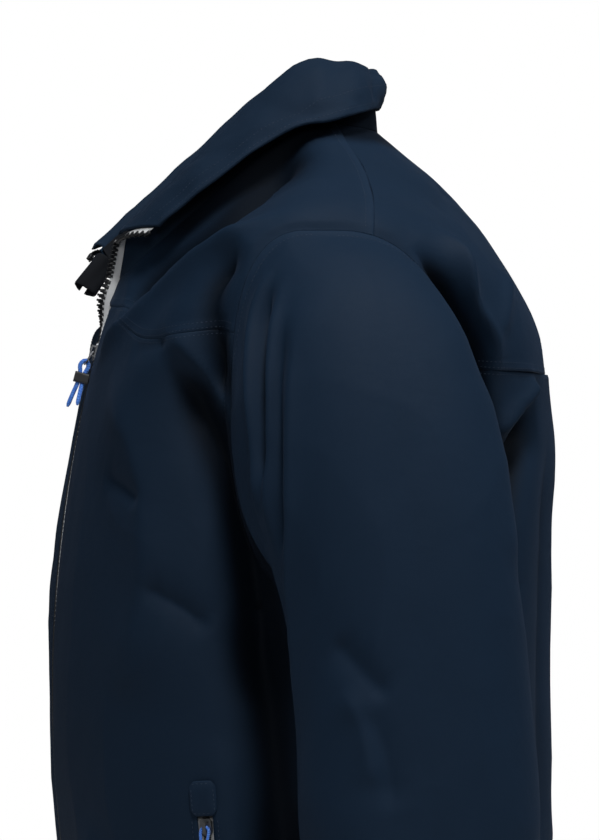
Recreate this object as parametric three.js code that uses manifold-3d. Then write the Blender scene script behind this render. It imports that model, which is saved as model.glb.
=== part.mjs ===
// A foul weather jacket: shell panels, collar, sleeves, linings, zips, pulls, cuff tabs and hem gear.
// Millimetres. +Z is up, the front faces -Y and the wearer's left is +X.
// The origin is under the strap of the hang loop, where a hook carries the jacket.

import * as THREE from 'three';
import Module from 'manifold-3d';

const wasm = await Module();
wasm.setup();

const DEG = Math.PI / 180;

// ---------------------------------------------------------------- driving dimensions

// The closed front edge hangs in one long arc in the plane x = 0.
const ZIP_RADIUS = 1000;
const ZIP_CENTRE_Y = 769;
const ZIP_CENTRE_Z = -420;

const HEM_Z = -785;
const UNDERARM_Z = -346;
const SHOULDER_Z = -86;
const CHEST_HALF_WIDTH = 196;
const BACK_Y = 147;
const NECK_HALF_WIDTH = 73;
const NECK_FRONT_Z = -116;
const NECK_BACK_Y = 12.5;
const CUFF_Z = -710;

const CLOTH = 1.2;            // shell cloth with its laminate
const SEAM_GAP = 0.3;         // left between pieces that are sewn together
const LINING_DEPTH = 11;      // lining below the outer face
const LINING = 0.8;

const TOOTH_PITCH = 5;
const TOOTH_TIP = 1.2;        // teeth stand this far off the centre line, so the slider's post can pass
const TOOTH_ROOT = 4.2;
const TEETH_HALF_THICK = 1.25;
const ZIP_DEPTH = 2.4;        // middle of the zip below the outer face
const TAPE_WIDTH = 13;
const TAPE_HALF_THICK = 0.3;
const PANEL_EDGE = 7;         // cloth edge beside the zip's centre line
const SLIDER_Z = -168;
const RETAINER_Z = -766;

// ---------------------------------------------------------------- materials

const NAVY = [0x1c2a3c, 0.8, 0];
const NAVY_LIGHT = [0x24344a, 0.8, 0];
const CHARCOAL = [0x2a2d32, 0.9, 0];
const LINING_GREY = [0x3a4350, 0.9, 0];
const WHITE_TAPE = [0xe8eaec, 0.8, 0];
const DARK_PLASTIC = [0x24272c, 0.5, 0];
const STEEL = [0x8d9298, 0.3, 1];
const BLUE_CORD = [0x366fc4, 0.7, 0];
const LABEL_WHITE = [0xf2f2f0, 0.8, 0];

const jacket = new THREE.Group();
jacket.name = 'foul_weather_jacket';

function add(name, geometry, [color, roughness, metalness]) {
  const material = new THREE.MeshStandardMaterial({ color, roughness, metalness });
  const mesh = new THREE.Mesh(geometry, material);
  mesh.name = name;
  jacket.add(mesh);
}

// ---------------------------------------------------------------- solid builders

function volume(vertices, triangles) {
  let sum = 0;
  for (let k = 0; k < triangles.length; k += 3) {
    const [a, b, c] = [vertices[triangles[k]], vertices[triangles[k + 1]], vertices[triangles[k + 2]]];
    sum += a.dot(new THREE.Vector3().crossVectors(b, c));
  }
  return sum / 6;
}

// A closed solid from points and triangles, turned so that its faces point out.
function solid(vertices, triangles) {
  if (volume(vertices, triangles) < 0) {
    for (let k = 0; k < triangles.length; k += 3) {
      [triangles[k], triangles[k + 1]] = [triangles[k + 1], triangles[k]];
    }
  }
  const geometry = new THREE.BufferGeometry();
  const flat = vertices.flatMap((v) => [v.x, v.y, v.z]);
  geometry.setAttribute('position', new THREE.Float32BufferAttribute(flat, 3));
  geometry.setIndex(triangles);
  geometry.computeVertexNormals();
  return geometry;
}

// A sheet between two depths of a surface: at(u, v, depth) gives a point, u and v from 0 to 1.
// Both faces split their quads along the same diagonal, so that the sheet is equally thick all over.
function sheet(at, columns, rows, outer, inner, wraps = false) {
  const across = wraps ? columns : columns + 1;
  const vertices = [];
  for (const depth of [outer, inner]) {
    for (let j = 0; j <= rows; j += 1) {
      for (let i = 0; i < across; i += 1) {
        vertices.push(at(i / columns, j / rows, depth));
      }
    }
  }
  const layer = across * (rows + 1);
  const index = (i, j, side) => side * layer + j * across + (i % across);
  const triangles = [];
  const quad = (a, b, c, d) => triangles.push(a, b, c, a, c, d);
  for (let j = 0; j < rows; j += 1) {
    for (let i = 0; i < columns; i += 1) {
      quad(index(i, j, 0), index(i + 1, j, 0), index(i + 1, j + 1, 0), index(i, j + 1, 0));
      quad(index(i, j, 1), index(i, j + 1, 1), index(i + 1, j + 1, 1), index(i + 1, j, 1));
    }
  }
  for (let i = 0; i < columns; i += 1) {
    quad(index(i, 0, 1), index(i + 1, 0, 1), index(i + 1, 0, 0), index(i, 0, 0));
    quad(index(i, rows, 0), index(i + 1, rows, 0), index(i + 1, rows, 1), index(i, rows, 1));
  }
  if (!wraps) {
    for (let j = 0; j < rows; j += 1) {
      quad(index(0, j, 0), index(0, j + 1, 0), index(0, j + 1, 1), index(0, j, 1));
      quad(index(columns, j, 1), index(columns, j + 1, 1), index(columns, j + 1, 0), index(columns, j, 0));
    }
  }
  return solid(vertices, triangles);
}

// A bar with a convex outline carried through stations {p, a, n}: outline(k) gives [along a, along n].
function bar(stations, outline) {
  const vertices = [];
  const triangles = [];
  let sides = 0;
  stations.forEach(({ p, a, n }, k) => {
    const points = outline(k);
    sides = points.length;
    for (const [alongA, alongN] of points) {
      vertices.push(p.clone().addScaledVector(a, alongA).addScaledVector(n, alongN));
    }
  });
  const last = (stations.length - 1) * sides;
  for (let k = 0; k < stations.length - 1; k += 1) {
    for (let i = 0; i < sides; i += 1) {
      const [p, q] = [k * sides + i, k * sides + ((i + 1) % sides)];
      triangles.push(p, q, q + sides, p, q + sides, p + sides);
    }
  }
  for (let i = 1; i < sides - 1; i += 1) {
    triangles.push(0, i + 1, i, last, last + i, last + i + 1);
  }
  return solid(vertices, triangles);
}

const rectangle = (a0, a1, n0, n1) => () => [[a0, n0], [a1, n0], [a1, n1], [a0, n1]];

// A round cord through hand-placed points.
function cord(points, radius, steps, sides = 8) {
  const curve = new THREE.CatmullRomCurve3(points.map((p) => new THREE.Vector3(...p)), false, 'centripetal');
  const shape = new THREE.Shape();
  for (let k = 0; k < sides; k += 1) {
    const turn = (2 * Math.PI * k) / sides;
    const [x, y] = [radius * Math.cos(turn), radius * Math.sin(turn)];
    if (k === 0) shape.moveTo(x, y);
    else shape.lineTo(x, y);
  }
  return new THREE.ExtrudeGeometry(shape, { steps, curveSegments: 1, extrudePath: curve });
}

function block(x0, x1, y0, y1, z0, z1) {
  const geometry = new THREE.BoxGeometry(x1 - x0, y1 - y0, z1 - z0);
  return geometry.translate((x0 + x1) / 2, (y0 + y1) / 2, (z0 + z1) / 2);
}

// A plate with rounded corners in x and y, from z0 to z1.
function roundedPlate(x0, x1, y0, y1, z0, z1, corner) {
  const shape = new THREE.Shape();
  shape.moveTo(x0 + corner, y0);
  shape.lineTo(x1 - corner, y0);
  shape.absarc(x1 - corner, y0 + corner, corner, -Math.PI / 2, 0);
  shape.absarc(x1 - corner, y1 - corner, corner, 0, Math.PI / 2);
  shape.absarc(x0 + corner, y1 - corner, corner, Math.PI / 2, Math.PI);
  shape.absarc(x0 + corner, y0 + corner, corner, Math.PI, 1.5 * Math.PI);
  const settings = { depth: z1 - z0, bevelEnabled: false, curveSegments: 3 };
  const geometry = new THREE.ExtrudeGeometry(shape, settings);
  return geometry.translate(0, 0, z0);
}

function toManifold(geometry) {
  const position = geometry.getAttribute('position');
  const seen = new Map();
  const vertices = [];
  const triangles = [];
  const count = geometry.index ? geometry.index.count : position.count;
  for (let k = 0; k < count; k += 1) {
    const i = geometry.index ? geometry.index.getX(k) : k;
    const point = [position.getX(i), position.getY(i), position.getZ(i)];
    const key = point.map((value) => Math.round(value * 1e4)).join();
    if (!seen.has(key)) {
      seen.set(key, vertices.length / 3);
      vertices.push(...point);
    }
    triangles.push(seen.get(key));
  }
  const kept = [];
  for (let k = 0; k < triangles.length; k += 3) {
    const [a, b, c] = triangles.slice(k, k + 3);
    if (a !== b && b !== c && c !== a) kept.push(a, b, c);
  }
  return new wasm.Manifold(new wasm.Mesh({
    numProp: 3,
    vertProperties: new Float32Array(vertices),
    triVerts: new Uint32Array(kept),
  }));
}

function fromManifold(manifold) {
  const { vertProperties, triVerts } = manifold.getMesh();
  const geometry = new THREE.BufferGeometry();
  geometry.setAttribute('position', new THREE.Float32BufferAttribute(vertProperties, 3));
  geometry.setIndex([...triVerts]);
  geometry.computeVertexNormals();
  return geometry;
}

function union(...parts) {
  return fromManifold(parts.map(toManifold).reduce((sum, part) => sum.add(part)));
}

function subtract(base, ...tools) {
  return fromManifold(tools.map(toManifold).reduce((sum, tool) => sum.subtract(tool), toManifold(base)));
}

// Carries a geometry drawn in a local frame to where its axes and origin lie.
function placed(geometry, { origin, across, along, out }) {
  return geometry.applyMatrix4(new THREE.Matrix4().makeBasis(across, along, out).setPosition(origin));
}

// ---------------------------------------------------------------- curves and rings

const mix = (a, b, f) => a + (b - a) * f;
const smooth = (f) => f * f * (3 - 2 * f);
const clamp = (f) => Math.min(1, Math.max(0, f));

// A smooth value through evenly spaced knots.
function through(values, t) {
  const k = Math.min(values.length - 2, Math.max(0, Math.floor(t)));
  const f = t - k;
  const at = (i) => {
    if (i < 0) return 2 * values[0] - values[1];
    if (i >= values.length) return 2 * values.at(-1) - values.at(-2);
    return values[i];
  };
  const [p0, p1, p2, p3] = [at(k - 1), at(k), at(k + 1), at(k + 2)];
  const bend = 2 * p0 - 5 * p1 + 4 * p2 - p3;
  return p1 + 0.5 * f * (p2 - p0 + f * (bend + f * (3 * (p1 - p2) + p3 - p0)));
}

const zipY = (z) => ZIP_CENTRE_Y - Math.sqrt(ZIP_RADIUS ** 2 - (z - ZIP_CENTRE_Z) ** 2);

// 0 at h = 0 and 1 at h = 1, level at first and then straight: how a ring dips towards the front or back.
const dip = (h, soft) => (Math.hypot(h, soft) - soft) / (Math.hypot(1, soft) - soft);

// One ring round the body. Angle 0 is the front, a quarter turn is the wearer's left.
function ringPoint(ring, angle) {
  const forward = Math.cos(angle);
  const h = Math.abs(forward) ** (2 / ring.power);
  const g = Math.abs(Math.sin(angle)) ** (2 / ring.power);
  const end = forward >= 0 ? [ring.frontY, ring.frontZ] : [ring.backY, ring.backZ];
  return new THREE.Vector3(
    Math.sign(Math.sin(angle)) * ring.half * g,
    mix(ring.sideY, end[0], h),
    mix(ring.sideZ, end[1], dip(h, ring.soft)),
  );
}

// ---------------------------------------------------------------- the body's surface

// Rings from the hem up to the neck seam. Their front points lie on the zip's arc.
const BODY_RINGS = {
  frontZ: [HEM_Z, -640, -490, UNDERARM_Z, -262, -190, -148, NECK_FRONT_Z],
  sideZ: [HEM_Z, -640, -490, UNDERARM_Z, -225, SHOULDER_Z, -38, -2],
  backZ: [HEM_Z, -640, -490, UNDERARM_Z, -235, -150, -62, -5],
  half: [196, 200, 200, CHEST_HALF_WIDTH, 193, 205, 132, NECK_HALF_WIDTH],
  sideY: [-36, -36, -35, -32, -40, -52, -42, -36],
  backY: [BACK_Y - 6, BACK_Y - 1, BACK_Y, BACK_Y, BACK_Y - 1, 127, 73, NECK_BACK_Y],
  power: [2.5, 2.5, 2.5, 2.5, 2.5, 2.4, 2.3, 2.2],
  soft: [0.5, 0.5, 0.5, 0.5, 0.5, 0.5, 0.4, 0.25],
};
const NECK = BODY_RINGS.half.length - 1;

function bodyRing(t) {
  const ring = {};
  for (const [key, values] of Object.entries(BODY_RINGS)) ring[key] = through(values, t);
  ring.frontY = zipY(ring.frontZ);
  return ring;
}

const bodySkin = (angle, t) => ringPoint(bodyRing(t), angle);

// A point at some depth below a skin, along its own normal.
function below(skin, a, b, depth, turn = 1) {
  const step = 1e-3;
  const alongA = skin(a + step, b).sub(skin(a - step, b));
  const alongB = skin(a, b + step).sub(skin(a, b - step));
  const normal = alongA.cross(alongB).normalize().multiplyScalar(turn);
  return skin(a, b).addScaledVector(normal, -depth);
}

// The ring height t at which the body has height z at this angle.
function ringAt(angle, z) {
  let [low, high] = [0, NECK];
  for (let k = 0; k < 30; k += 1) {
    const middle = (low + high) / 2;
    if (bodySkin(angle, middle).z < z) low = middle;
    else high = middle;
  }
  return (low + high) / 2;
}

// The angle and ring height of a front point x across and z up.
function frontAt(x, z) {
  let [angle, t] = [0, 0];
  for (let k = 0; k < 4; k += 1) {
    t = ringAt(angle, z);
    const { half, power } = bodyRing(t);
    angle = Math.asin((x / half) ** (power / 2));
  }
  return [angle, t];
}

// How far each front edge is drawn off the centre line: nothing below the slider, open above it.
const NECK_SPREAD = 9;
const SPREAD_START_Z = SLIDER_Z + 9;
const edgeSpread = (z) => NECK_SPREAD * smooth(clamp((z - SPREAD_START_Z) / (NECK_FRONT_Z - SPREAD_START_Z)));

// The armhole: turn 0 is its top, a quarter turn the front, half a turn the underarm.
const ARMHOLE_MIDDLE_Z = (SHOULDER_Z + UNDERARM_Z) / 2;
const ARMHOLE_HALF_HEIGHT = (SHOULDER_Z - UNDERARM_Z) / 2;
const ARMHOLE_FRONT = 21 * DEG;
const ARMHOLE_REAR = 25 * DEG;
const ARMHOLE_LEAN = 2 * DEG;
const SQUARE = 0.8;

const signed = (value, power) => Math.sign(value) * Math.abs(value) ** power;

// inset draws the line in towards the armhole's middle, for the sleeve that is set into it.
function armhole(turn, inset = 0) {
  const rise = (1 - inset / 3) * signed(Math.cos(turn), SQUARE);
  const side = (1 - inset) * signed(Math.sin(turn), SQUARE);
  const angle = 91 * DEG - rise * ARMHOLE_LEAN - side * (side > 0 ? ARMHOLE_FRONT : ARMHOLE_REAR);
  const z = ARMHOLE_MIDDLE_Z + ARMHOLE_HALF_HEIGHT * rise;
  return [angle, ringAt(angle, Math.min(z, SHOULDER_Z - 0.5))];
}

// A line through (angle, t) knots, evenly spaced.
const knotLine = (knots) => (f) => [0, 1].map((axis) => (
  through(knots.map((knot) => knot[axis]), f * (knots.length - 1))));

// Two lines end to end: the first takes the given share.
const joined = (first, second, share) => (f) => (
  f < share ? first(f / share) : second((f - share) / (1 - share)));

// A four-sided cloth panel of the body, held between its bottom, top, left and right lines.
function panel(bottom, top, left, right) {
  const inset = 0.0028;
  return (uFull, vFull, depth) => {
    const u = mix(inset, 1 - inset, uFull);
    const v = mix(inset, 1 - inset, vFull);
    const [b, t, l, r] = [bottom(u), top(u), left(v), right(v)];
    const [b0, b1, t0, t1] = [bottom(0), bottom(1), top(0), top(1)];
    const [angle, height] = [0, 1].map((k) => (
      mix(b[k], t[k], v) + mix(l[k], r[k], u) - mix(mix(b0[k], b1[k], u), mix(t0[k], t1[k], u), v)));
    return below(bodySkin, angle, height, depth);
  };
}

// Mirrors a surface to the wearer's right.
const mirrored = (at) => (u, v, depth) => at(u, v, depth).multiply(new THREE.Vector3(-1, 1, 1));

const SIDE_SEAM = 93 * DEG;
const SIDE_SHARE = 0.65;             // of a panel's side, the part below the armhole
const YOKE_FRONT_Z = -134;
const YOKE_ARM_TURN = 69 * DEG;      // where the chest seam meets the armhole
const BACK_YOKE_Z = -185;
const BACK_YOKE_TURN = 280 * DEG;    // where the back seam meets the armhole
const SHOULDER_TURN = 344 * DEG;     // the shoulder seam lies a little behind the ridge
const NECK_SEAM_ANGLE = 100 * DEG;

const edgeLine = (z0, z1) => (f) => {
  const z = mix(z0, z1, f);
  return frontAt(PANEL_EDGE + edgeSpread(z), z);
};
const armLine = (turn0, turn1) => (f) => armhole(mix(turn0, turn1, f));
const hemLine = (angle0, angle1) => (f) => [mix(angle0, angle1, f), 0];
const neckLine = (angle0, angle1) => (f) => [mix(angle0, angle1, f), NECK];
const sideLine = (f) => [SIDE_SEAM, armhole(Math.PI)[1] * f];

const hemEdge = frontAt(PANEL_EDGE, HEM_Z)[0];
const neckEdge = frontAt(PANEL_EDGE + NECK_SPREAD, NECK_FRONT_Z)[0];
const yokeArm = armhole(YOKE_ARM_TURN);
const yokeEdge = frontAt(PANEL_EDGE + edgeSpread(YOKE_FRONT_Z), YOKE_FRONT_Z);
const chestSeam = knotLine([
  yokeEdge,
  frontAt(60, YOKE_FRONT_Z),
  frontAt(130, YOKE_FRONT_Z - 4),
  yokeArm,
]);
const shoulderSeam = knotLine([[NECK_SEAM_ANGLE, NECK], [102 * DEG, 6], armhole(SHOULDER_TURN - 360 * DEG)]);
const backYokeArm = armhole(BACK_YOKE_TURN);
const backSeam = knotLine([
  [360 * DEG - backYokeArm[0], backYokeArm[1]],
  [210 * DEG, ringAt(210 * DEG, BACK_YOKE_Z)],
  [180 * DEG, ringAt(180 * DEG, BACK_YOKE_Z)],
  [150 * DEG, ringAt(150 * DEG, BACK_YOKE_Z)],
  backYokeArm,
]);
const toRight = (line) => (f) => {
  const [angle, t] = line(f);
  return [360 * DEG - angle, t];
};

// Front panel: hem, zip edge, chest seam, and the side seam with the front of the armhole.
const frontPanel = panel(
  hemLine(hemEdge, SIDE_SEAM),
  chestSeam,
  edgeLine(HEM_Z, YOKE_FRONT_Z),
  joined(sideLine, armLine(Math.PI, YOKE_ARM_TURN), SIDE_SHARE),
);

// Front yoke: chest seam, zip edge with the neck, shoulder seam and the top of the armhole.
const frontYoke = panel(
  chestSeam,
  shoulderSeam,
  joined(edgeLine(YOKE_FRONT_Z, NECK_FRONT_Z), neckLine(neckEdge, NECK_SEAM_ANGLE), 0.14),
  armLine(YOKE_ARM_TURN, SHOULDER_TURN - 360 * DEG),
);

// Back yoke: one piece from armhole to armhole, its top edge running shoulder, neck, shoulder.
const reversed = (line) => (f) => line(1 - f);
const backYoke = panel(
  backSeam,
  joined(
    toRight(reversed(shoulderSeam)),
    joined(neckLine(260 * DEG, NECK_SEAM_ANGLE), shoulderSeam, 0.4),
    0.375,
  ),
  toRight(armLine(BACK_YOKE_TURN, SHOULDER_TURN)),
  armLine(BACK_YOKE_TURN, SHOULDER_TURN),
);

// Back panel: hem, side seams, the back of both armholes and the back yoke's seam.
const backPanel = panel(
  hemLine(360 * DEG - SIDE_SEAM, SIDE_SEAM),
  backSeam,
  toRight(joined(sideLine, armLine(Math.PI, BACK_YOKE_TURN), SIDE_SHARE)),
  joined(sideLine, armLine(Math.PI, BACK_YOKE_TURN), SIDE_SHARE),
);

// ---------------------------------------------------------------- sleeves

// Rings of the left sleeve below the armhole: its outer and inner points, its front and its back.
const SLEEVE_RINGS = [
  { outer: [237, -109], inner: [204, -350], front: -116, back: 54 },
  { outer: [267, -152], inner: [205.5, -357], front: -107, back: 62 },
  { outer: [290, -225], inner: [206, -374], front: -95, back: 70 },
  { outer: [303, -335], inner: [207, -430], front: -80, back: 80 },
  { outer: [308, -480], inner: [208, -530], front: -75, back: 88 },
  { outer: [306, -610], inner: [212, -630], front: -64, back: 85 },
  { outer: [300, CUFF_Z], inner: [217, CUFF_Z], front: -50, back: 76 },
];
const SLEEVE_ROUND = 2 / 2.2;
const SLEEVE_INSET = 0.04;
const ARM_START = 0.035;      // the sleeve starts just clear of the armhole's edge

function sleeveRing(k, turn) {
  if (k === 0) {
    const [angle, t] = armhole(turn, SLEEVE_INSET);
    return bodySkin(angle, t);
  }
  const { outer, inner, front, back } = SLEEVE_RINGS[k - 1];
  const c = (1 + signed(Math.cos(turn), SLEEVE_ROUND)) / 2;
  const s = (1 + signed(Math.sin(turn), SLEEVE_ROUND)) / 2;
  return new THREE.Vector3(mix(inner[0], outer[0], c), mix(back, front, s), mix(inner[1], outer[1], c));
}

function sleeveSkin(turn, t) {
  const points = [0, 1, 2, 3, 4, 5, 6, 7].map((k) => sleeveRing(k, turn));
  return new THREE.Vector3(...['x', 'y', 'z'].map((axis) => through(points.map((p) => p[axis]), t)));
}
const SLEEVE_END = SLEEVE_RINGS.length;
const CUFF_START = 6.45;

// A length of sleeve, from one ring height to another.
const sleevePart = (t0, t1) => (u, v, depth) => (
  below(sleeveSkin, 2 * Math.PI * u, mix(t0, t1, v), depth));

// ---------------------------------------------------------------- collar

// The roll line and the edge of the turned-down fall, as rings, and where each one ends at the front.
const ROLL = {
  frontZ: -92, sideZ: 41, backZ: 37, half: 64, frontY: -186, sideY: -40, backY: 14, power: 2.2, soft: 0.15,
};
const FALL_EDGE = {
  frontZ: -115, sideZ: -3, backZ: 13, half: 92, frontY: -203, sideY: -42, backY: 19, power: 2.2, soft: 0.2,
};
const ROLL_END = 21 * DEG;
const FALL_END = 46 * DEG;

const collarAngle = (end, f) => mix(end, 360 * DEG - end, f);

function standSkin(f, w) {
  const seam = bodySkin(collarAngle(neckEdge, f), NECK);
  seam.z += 3 * SEAM_GAP;
  return seam.lerp(ringPoint(ROLL, collarAngle(ROLL_END, f)), w);
}

const ROLL_LIFT = 2.4;        // the fall turns over this far outside and above the stand
const FALL_BULGE = 4;

function fallSkin(f, w) {
  const roll = ringPoint(ROLL, collarAngle(ROLL_END, f));
  const outward = new THREE.Vector3(roll.x, roll.y - ROLL.sideY, 0).normalize();
  roll.addScaledVector(outward, ROLL_LIFT);
  roll.z += ROLL_LIFT;
  const point = roll.lerp(ringPoint(FALL_EDGE, collarAngle(FALL_END, f)), w);
  const bulge = FALL_BULGE * Math.sin(Math.PI * w);
  return point.addScaledVector(outward, bulge).add(new THREE.Vector3(0, 0, bulge / 2));
}

// ---------------------------------------------------------------- front zip

// One station of the left half of the zip: its place, the way across the tape and the way out.
function frontStation(z) {
  const [angle, t] = frontAt(edgeSpread(z) + 1e-3, z);
  const here = below(bodySkin, angle, t, ZIP_DEPTH);
  const out = bodySkin(angle, t).sub(here).normalize();
  const across = new THREE.Vector3(1, 0, 0).addScaledVector(out, -out.x).normalize();
  return { p: here, a: across, n: out, narrow: z > YOKE_FRONT_Z - 12 };
}

// The same on the collar's end, where the zip runs on up the stand and over the fall.
function collarStation(skin, w, turn) {
  const edge = below(skin, 0, w, ZIP_DEPTH, turn);
  const out = skin(0, w).sub(edge).normalize();
  const across = skin(0.02, w).sub(skin(0, w));
  across.addScaledVector(out, -across.dot(out)).normalize();
  return { p: edge.addScaledVector(across, -PANEL_EDGE - 1.5), a: across, n: out, narrow: true };
}

function zipStations(spacing) {
  const stations = [];
  for (let z = RETAINER_Z; z < NECK_FRONT_Z; z += spacing) stations.push(frontStation(z));
  const stand = 34;
  for (let s = spacing; s < stand; s += spacing) stations.push(collarStation(standSkin, s / stand, 1));
  const fall = 38;
  for (let s = 3; s < fall; s += spacing) stations.push(collarStation(fallSkin, s / fall, -1));
  return stations;
}

// The tape runs on under the front panel, but stops at the collar's cloth.
function zipTape() {
  const stations = zipStations(2 * TOOTH_PITCH);
  const edge = TOOTH_ROOT + 4 * SEAM_GAP;
  const outline = (k) => {
    const width = stations[k].narrow ? PANEL_EDGE - 2 * SEAM_GAP : TAPE_WIDTH;
    return rectangle(edge, width, -TAPE_HALF_THICK, TAPE_HALF_THICK)();
  };
  return bar(stations, outline);
}

// Teeth moulded round a bead cord: a bar whose inner side runs in and out once per tooth.
function zipTeeth(phase) {
  const outline = (k) => {
    const tip = k % 2 === phase ? TOOTH_TIP : TOOTH_TIP + 1.5;
    return [
      [tip, -TEETH_HALF_THICK], [TOOTH_ROOT, -TEETH_HALF_THICK],
      [TOOTH_ROOT, TEETH_HALF_THICK], [tip, TEETH_HALF_THICK],
    ];
  };
  return bar(zipStations(TOOTH_PITCH / 2), outline);
}

const mirrorGeometry = (geometry) => {
  const copy = geometry.clone().scale(-1, 1, 1);
  const order = copy.index ? [...copy.index.array] : [...Array(copy.getAttribute('position').count).keys()];
  for (let k = 0; k < order.length; k += 3) [order[k], order[k + 1]] = [order[k + 1], order[k]];
  copy.setIndex(order);
  copy.computeVertexNormals();
  return copy;
};

// Adds a left piece and its twin on the right.
function addPair(name, geometry, look) {
  add(`left_${name}`, geometry, look);
  add(`right_${name}`, mirrorGeometry(geometry), look);
}

// ---------------------------------------------------------------- shell, lining and collar

const COLUMNS_FRONT = 9;
const ROWS_PANEL = 12;
const COLUMNS_BACK = 16;

// ---- pocket frame: the zip runs straight down the front of the body near its side
const POCKET_ANGLE = 64 * DEG;
const POCKET_TOP_Z = -490;
const POCKET_BOTTOM_Z = -662;
const pocketTop = bodySkin(POCKET_ANGLE, ringAt(POCKET_ANGLE, POCKET_TOP_Z));
const pocketBottom = bodySkin(POCKET_ANGLE, ringAt(POCKET_ANGLE, POCKET_BOTTOM_Z));
const pocketLength = pocketTop.distanceTo(pocketBottom);
const pocketDown = pocketBottom.clone().sub(pocketTop).normalize();
const pocketOut = bodySkin(POCKET_ANGLE, ringAt(POCKET_ANGLE, POCKET_TOP_Z))
  .sub(below(bodySkin, POCKET_ANGLE, ringAt(POCKET_ANGLE, POCKET_TOP_Z), 1));
pocketOut.addScaledVector(pocketDown, -pocketOut.dot(pocketDown)).normalize();
const pocketFrame = {
  origin: pocketTop,
  across: new THREE.Vector3().crossVectors(pocketDown, pocketOut),
  along: pocketDown,
  out: pocketOut,
};
const inPocket = (geometry) => placed(geometry, pocketFrame);
const SLOT_HALF = 6.5;
const SLOT_BEYOND = 4;        // the slot runs on past both ends of the zip

function frontPanelWithSlot() {
  const slot = inPocket(block(-SLOT_HALF, SLOT_HALF, -SLOT_BEYOND, pocketLength + SLOT_BEYOND, -12, 12));
  return subtract(sheet(frontPanel, COLUMNS_FRONT, ROWS_PANEL, 0, CLOTH), slot);
}

addPair('front_panel', frontPanelWithSlot(), NAVY);
addPair('front_yoke', sheet(frontYoke, COLUMNS_FRONT, 7, 0, CLOTH), NAVY_LIGHT);
add('back_yoke', sheet(backYoke, COLUMNS_BACK, 6, 0, CLOTH), NAVY_LIGHT);
add('back_panel', sheet(backPanel, COLUMNS_BACK, ROWS_PANEL, 0, CLOTH), NAVY);

// The collar: outer stand, its lining on the neck side, and the fall turned down over both.
const COLLAR_COLUMNS = 24;
const STAND_CLOTH = 1.5;
const FALL_CLOTH = 1.6;
const COLLAR_LINING_DEPTH = 3.4;
const COLLAR_LINING = 1;
const standAt = (u, v, depth) => below(standSkin, u, v, depth);
const collarLiningAt = (u, v, depth) => below(standSkin, u, mix(0.03, 0.97, v), depth);
const fallAt = (u, v, depth) => below(fallSkin, u, v, depth, -1);
const collarLiningBack = COLLAR_LINING_DEPTH + COLLAR_LINING;
add('collar_stand', sheet(standAt, COLLAR_COLUMNS, 2, 0, STAND_CLOTH), NAVY);
add(
  'collar_lining',
  sheet(collarLiningAt, COLLAR_COLUMNS, 2, COLLAR_LINING_DEPTH, collarLiningBack),
  CHARCOAL,
);
add('collar_fall', sheet(fallAt, COLLAR_COLUMNS, 4, 0, FALL_CLOTH), NAVY);

// Linings hang inside the shell, short of the hem, the neck and the zip.
const liningFront = (u, v, depth) => frontPanel(mix(0.16, 0.995, u), mix(0.085, 0.998, v), depth);
const liningBack = (u, v, depth) => backPanel(u, mix(0.085, 0.998, v), depth);
const liningYoke = (u, v, depth) => backYoke(u, mix(0.01, 0.9, v), depth);
addPair('front_lining', sheet(liningFront, 6, 9, LINING_DEPTH, LINING_DEPTH + LINING), LINING_GREY);
add('back_lining', sheet(liningBack, 12, 9, LINING_DEPTH, LINING_DEPTH + LINING), LINING_GREY);
add('back_yoke_lining', sheet(liningYoke, COLUMNS_BACK, 4, LINING_DEPTH, LINING_DEPTH + LINING), CHARCOAL);

// The hem is turned up inside: a band that carries the drawcord.
const HEM_BAND = 0.06;
const HEM_FACING_DEPTH = 2 * CLOTH;
const hemFacingBack = HEM_FACING_DEPTH + LINING;
const hemFrontAt = (u, v, depth) => frontPanel(mix(0.09, 0.998, u), mix(0.001, HEM_BAND, v), depth);
const hemBackAt = (u, v, depth) => backPanel(u, mix(0.001, HEM_BAND, v), depth);
addPair(
  'hem_facing',
  sheet(hemFrontAt, COLUMNS_FRONT, 1, HEM_FACING_DEPTH, hemFacingBack),
  CHARCOAL,
);
add(
  'back_hem_facing',
  sheet(hemBackAt, COLUMNS_BACK, 1, HEM_FACING_DEPTH, hemFacingBack),
  CHARCOAL,
);

// Storm flap: a strip of cloth behind the zip that keeps water out, and a chin guard above it.
const FLAP_DEPTH = 7;
const FLAP_WIDTH = 32;
const flapAt = (u, v, depth) => {
  const z = mix(RETAINER_Z + 8, NECK_FRONT_Z - 12, v);
  const x = mix(0.5, FLAP_WIDTH, u) + edgeSpread(z);
  return below(bodySkin, ...frontAt(x, z), depth);
};
add('inner_storm_flap', sheet(flapAt, 2, 16, FLAP_DEPTH, FLAP_DEPTH + LINING), NAVY);

// The neck tape covers the neck seam inside; the hang loop and the size label are sewn to it.
const neckTapeAt = (u, v, depth) => below(standSkin, mix(0.38, 0.62, u), mix(-0.25, 0.02, v), depth);
const NECK_TAPE_DEPTH = 4.6;
add('neck_tape', sheet(neckTapeAt, 8, 1, NECK_TAPE_DEPTH, NECK_TAPE_DEPTH + LINING), CHARCOAL);

const LOOP_HALF = 26;
const LOOP_LEG = 17;
const STRAP_HALF = 4;
const STRAP = 1.4;

function hangLoop() {
  const strap = block(-LOOP_HALF, LOOP_HALF, -STRAP_HALF, STRAP_HALF, 0, STRAP);
  const leg = (x) => block(x, x + STRAP, -STRAP_HALF, STRAP_HALF, -LOOP_LEG, STRAP);
  return union(strap, leg(-LOOP_HALF), leg(LOOP_HALF - STRAP));
}
add('hang_loop', hangLoop(), CHARCOAL);

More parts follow.
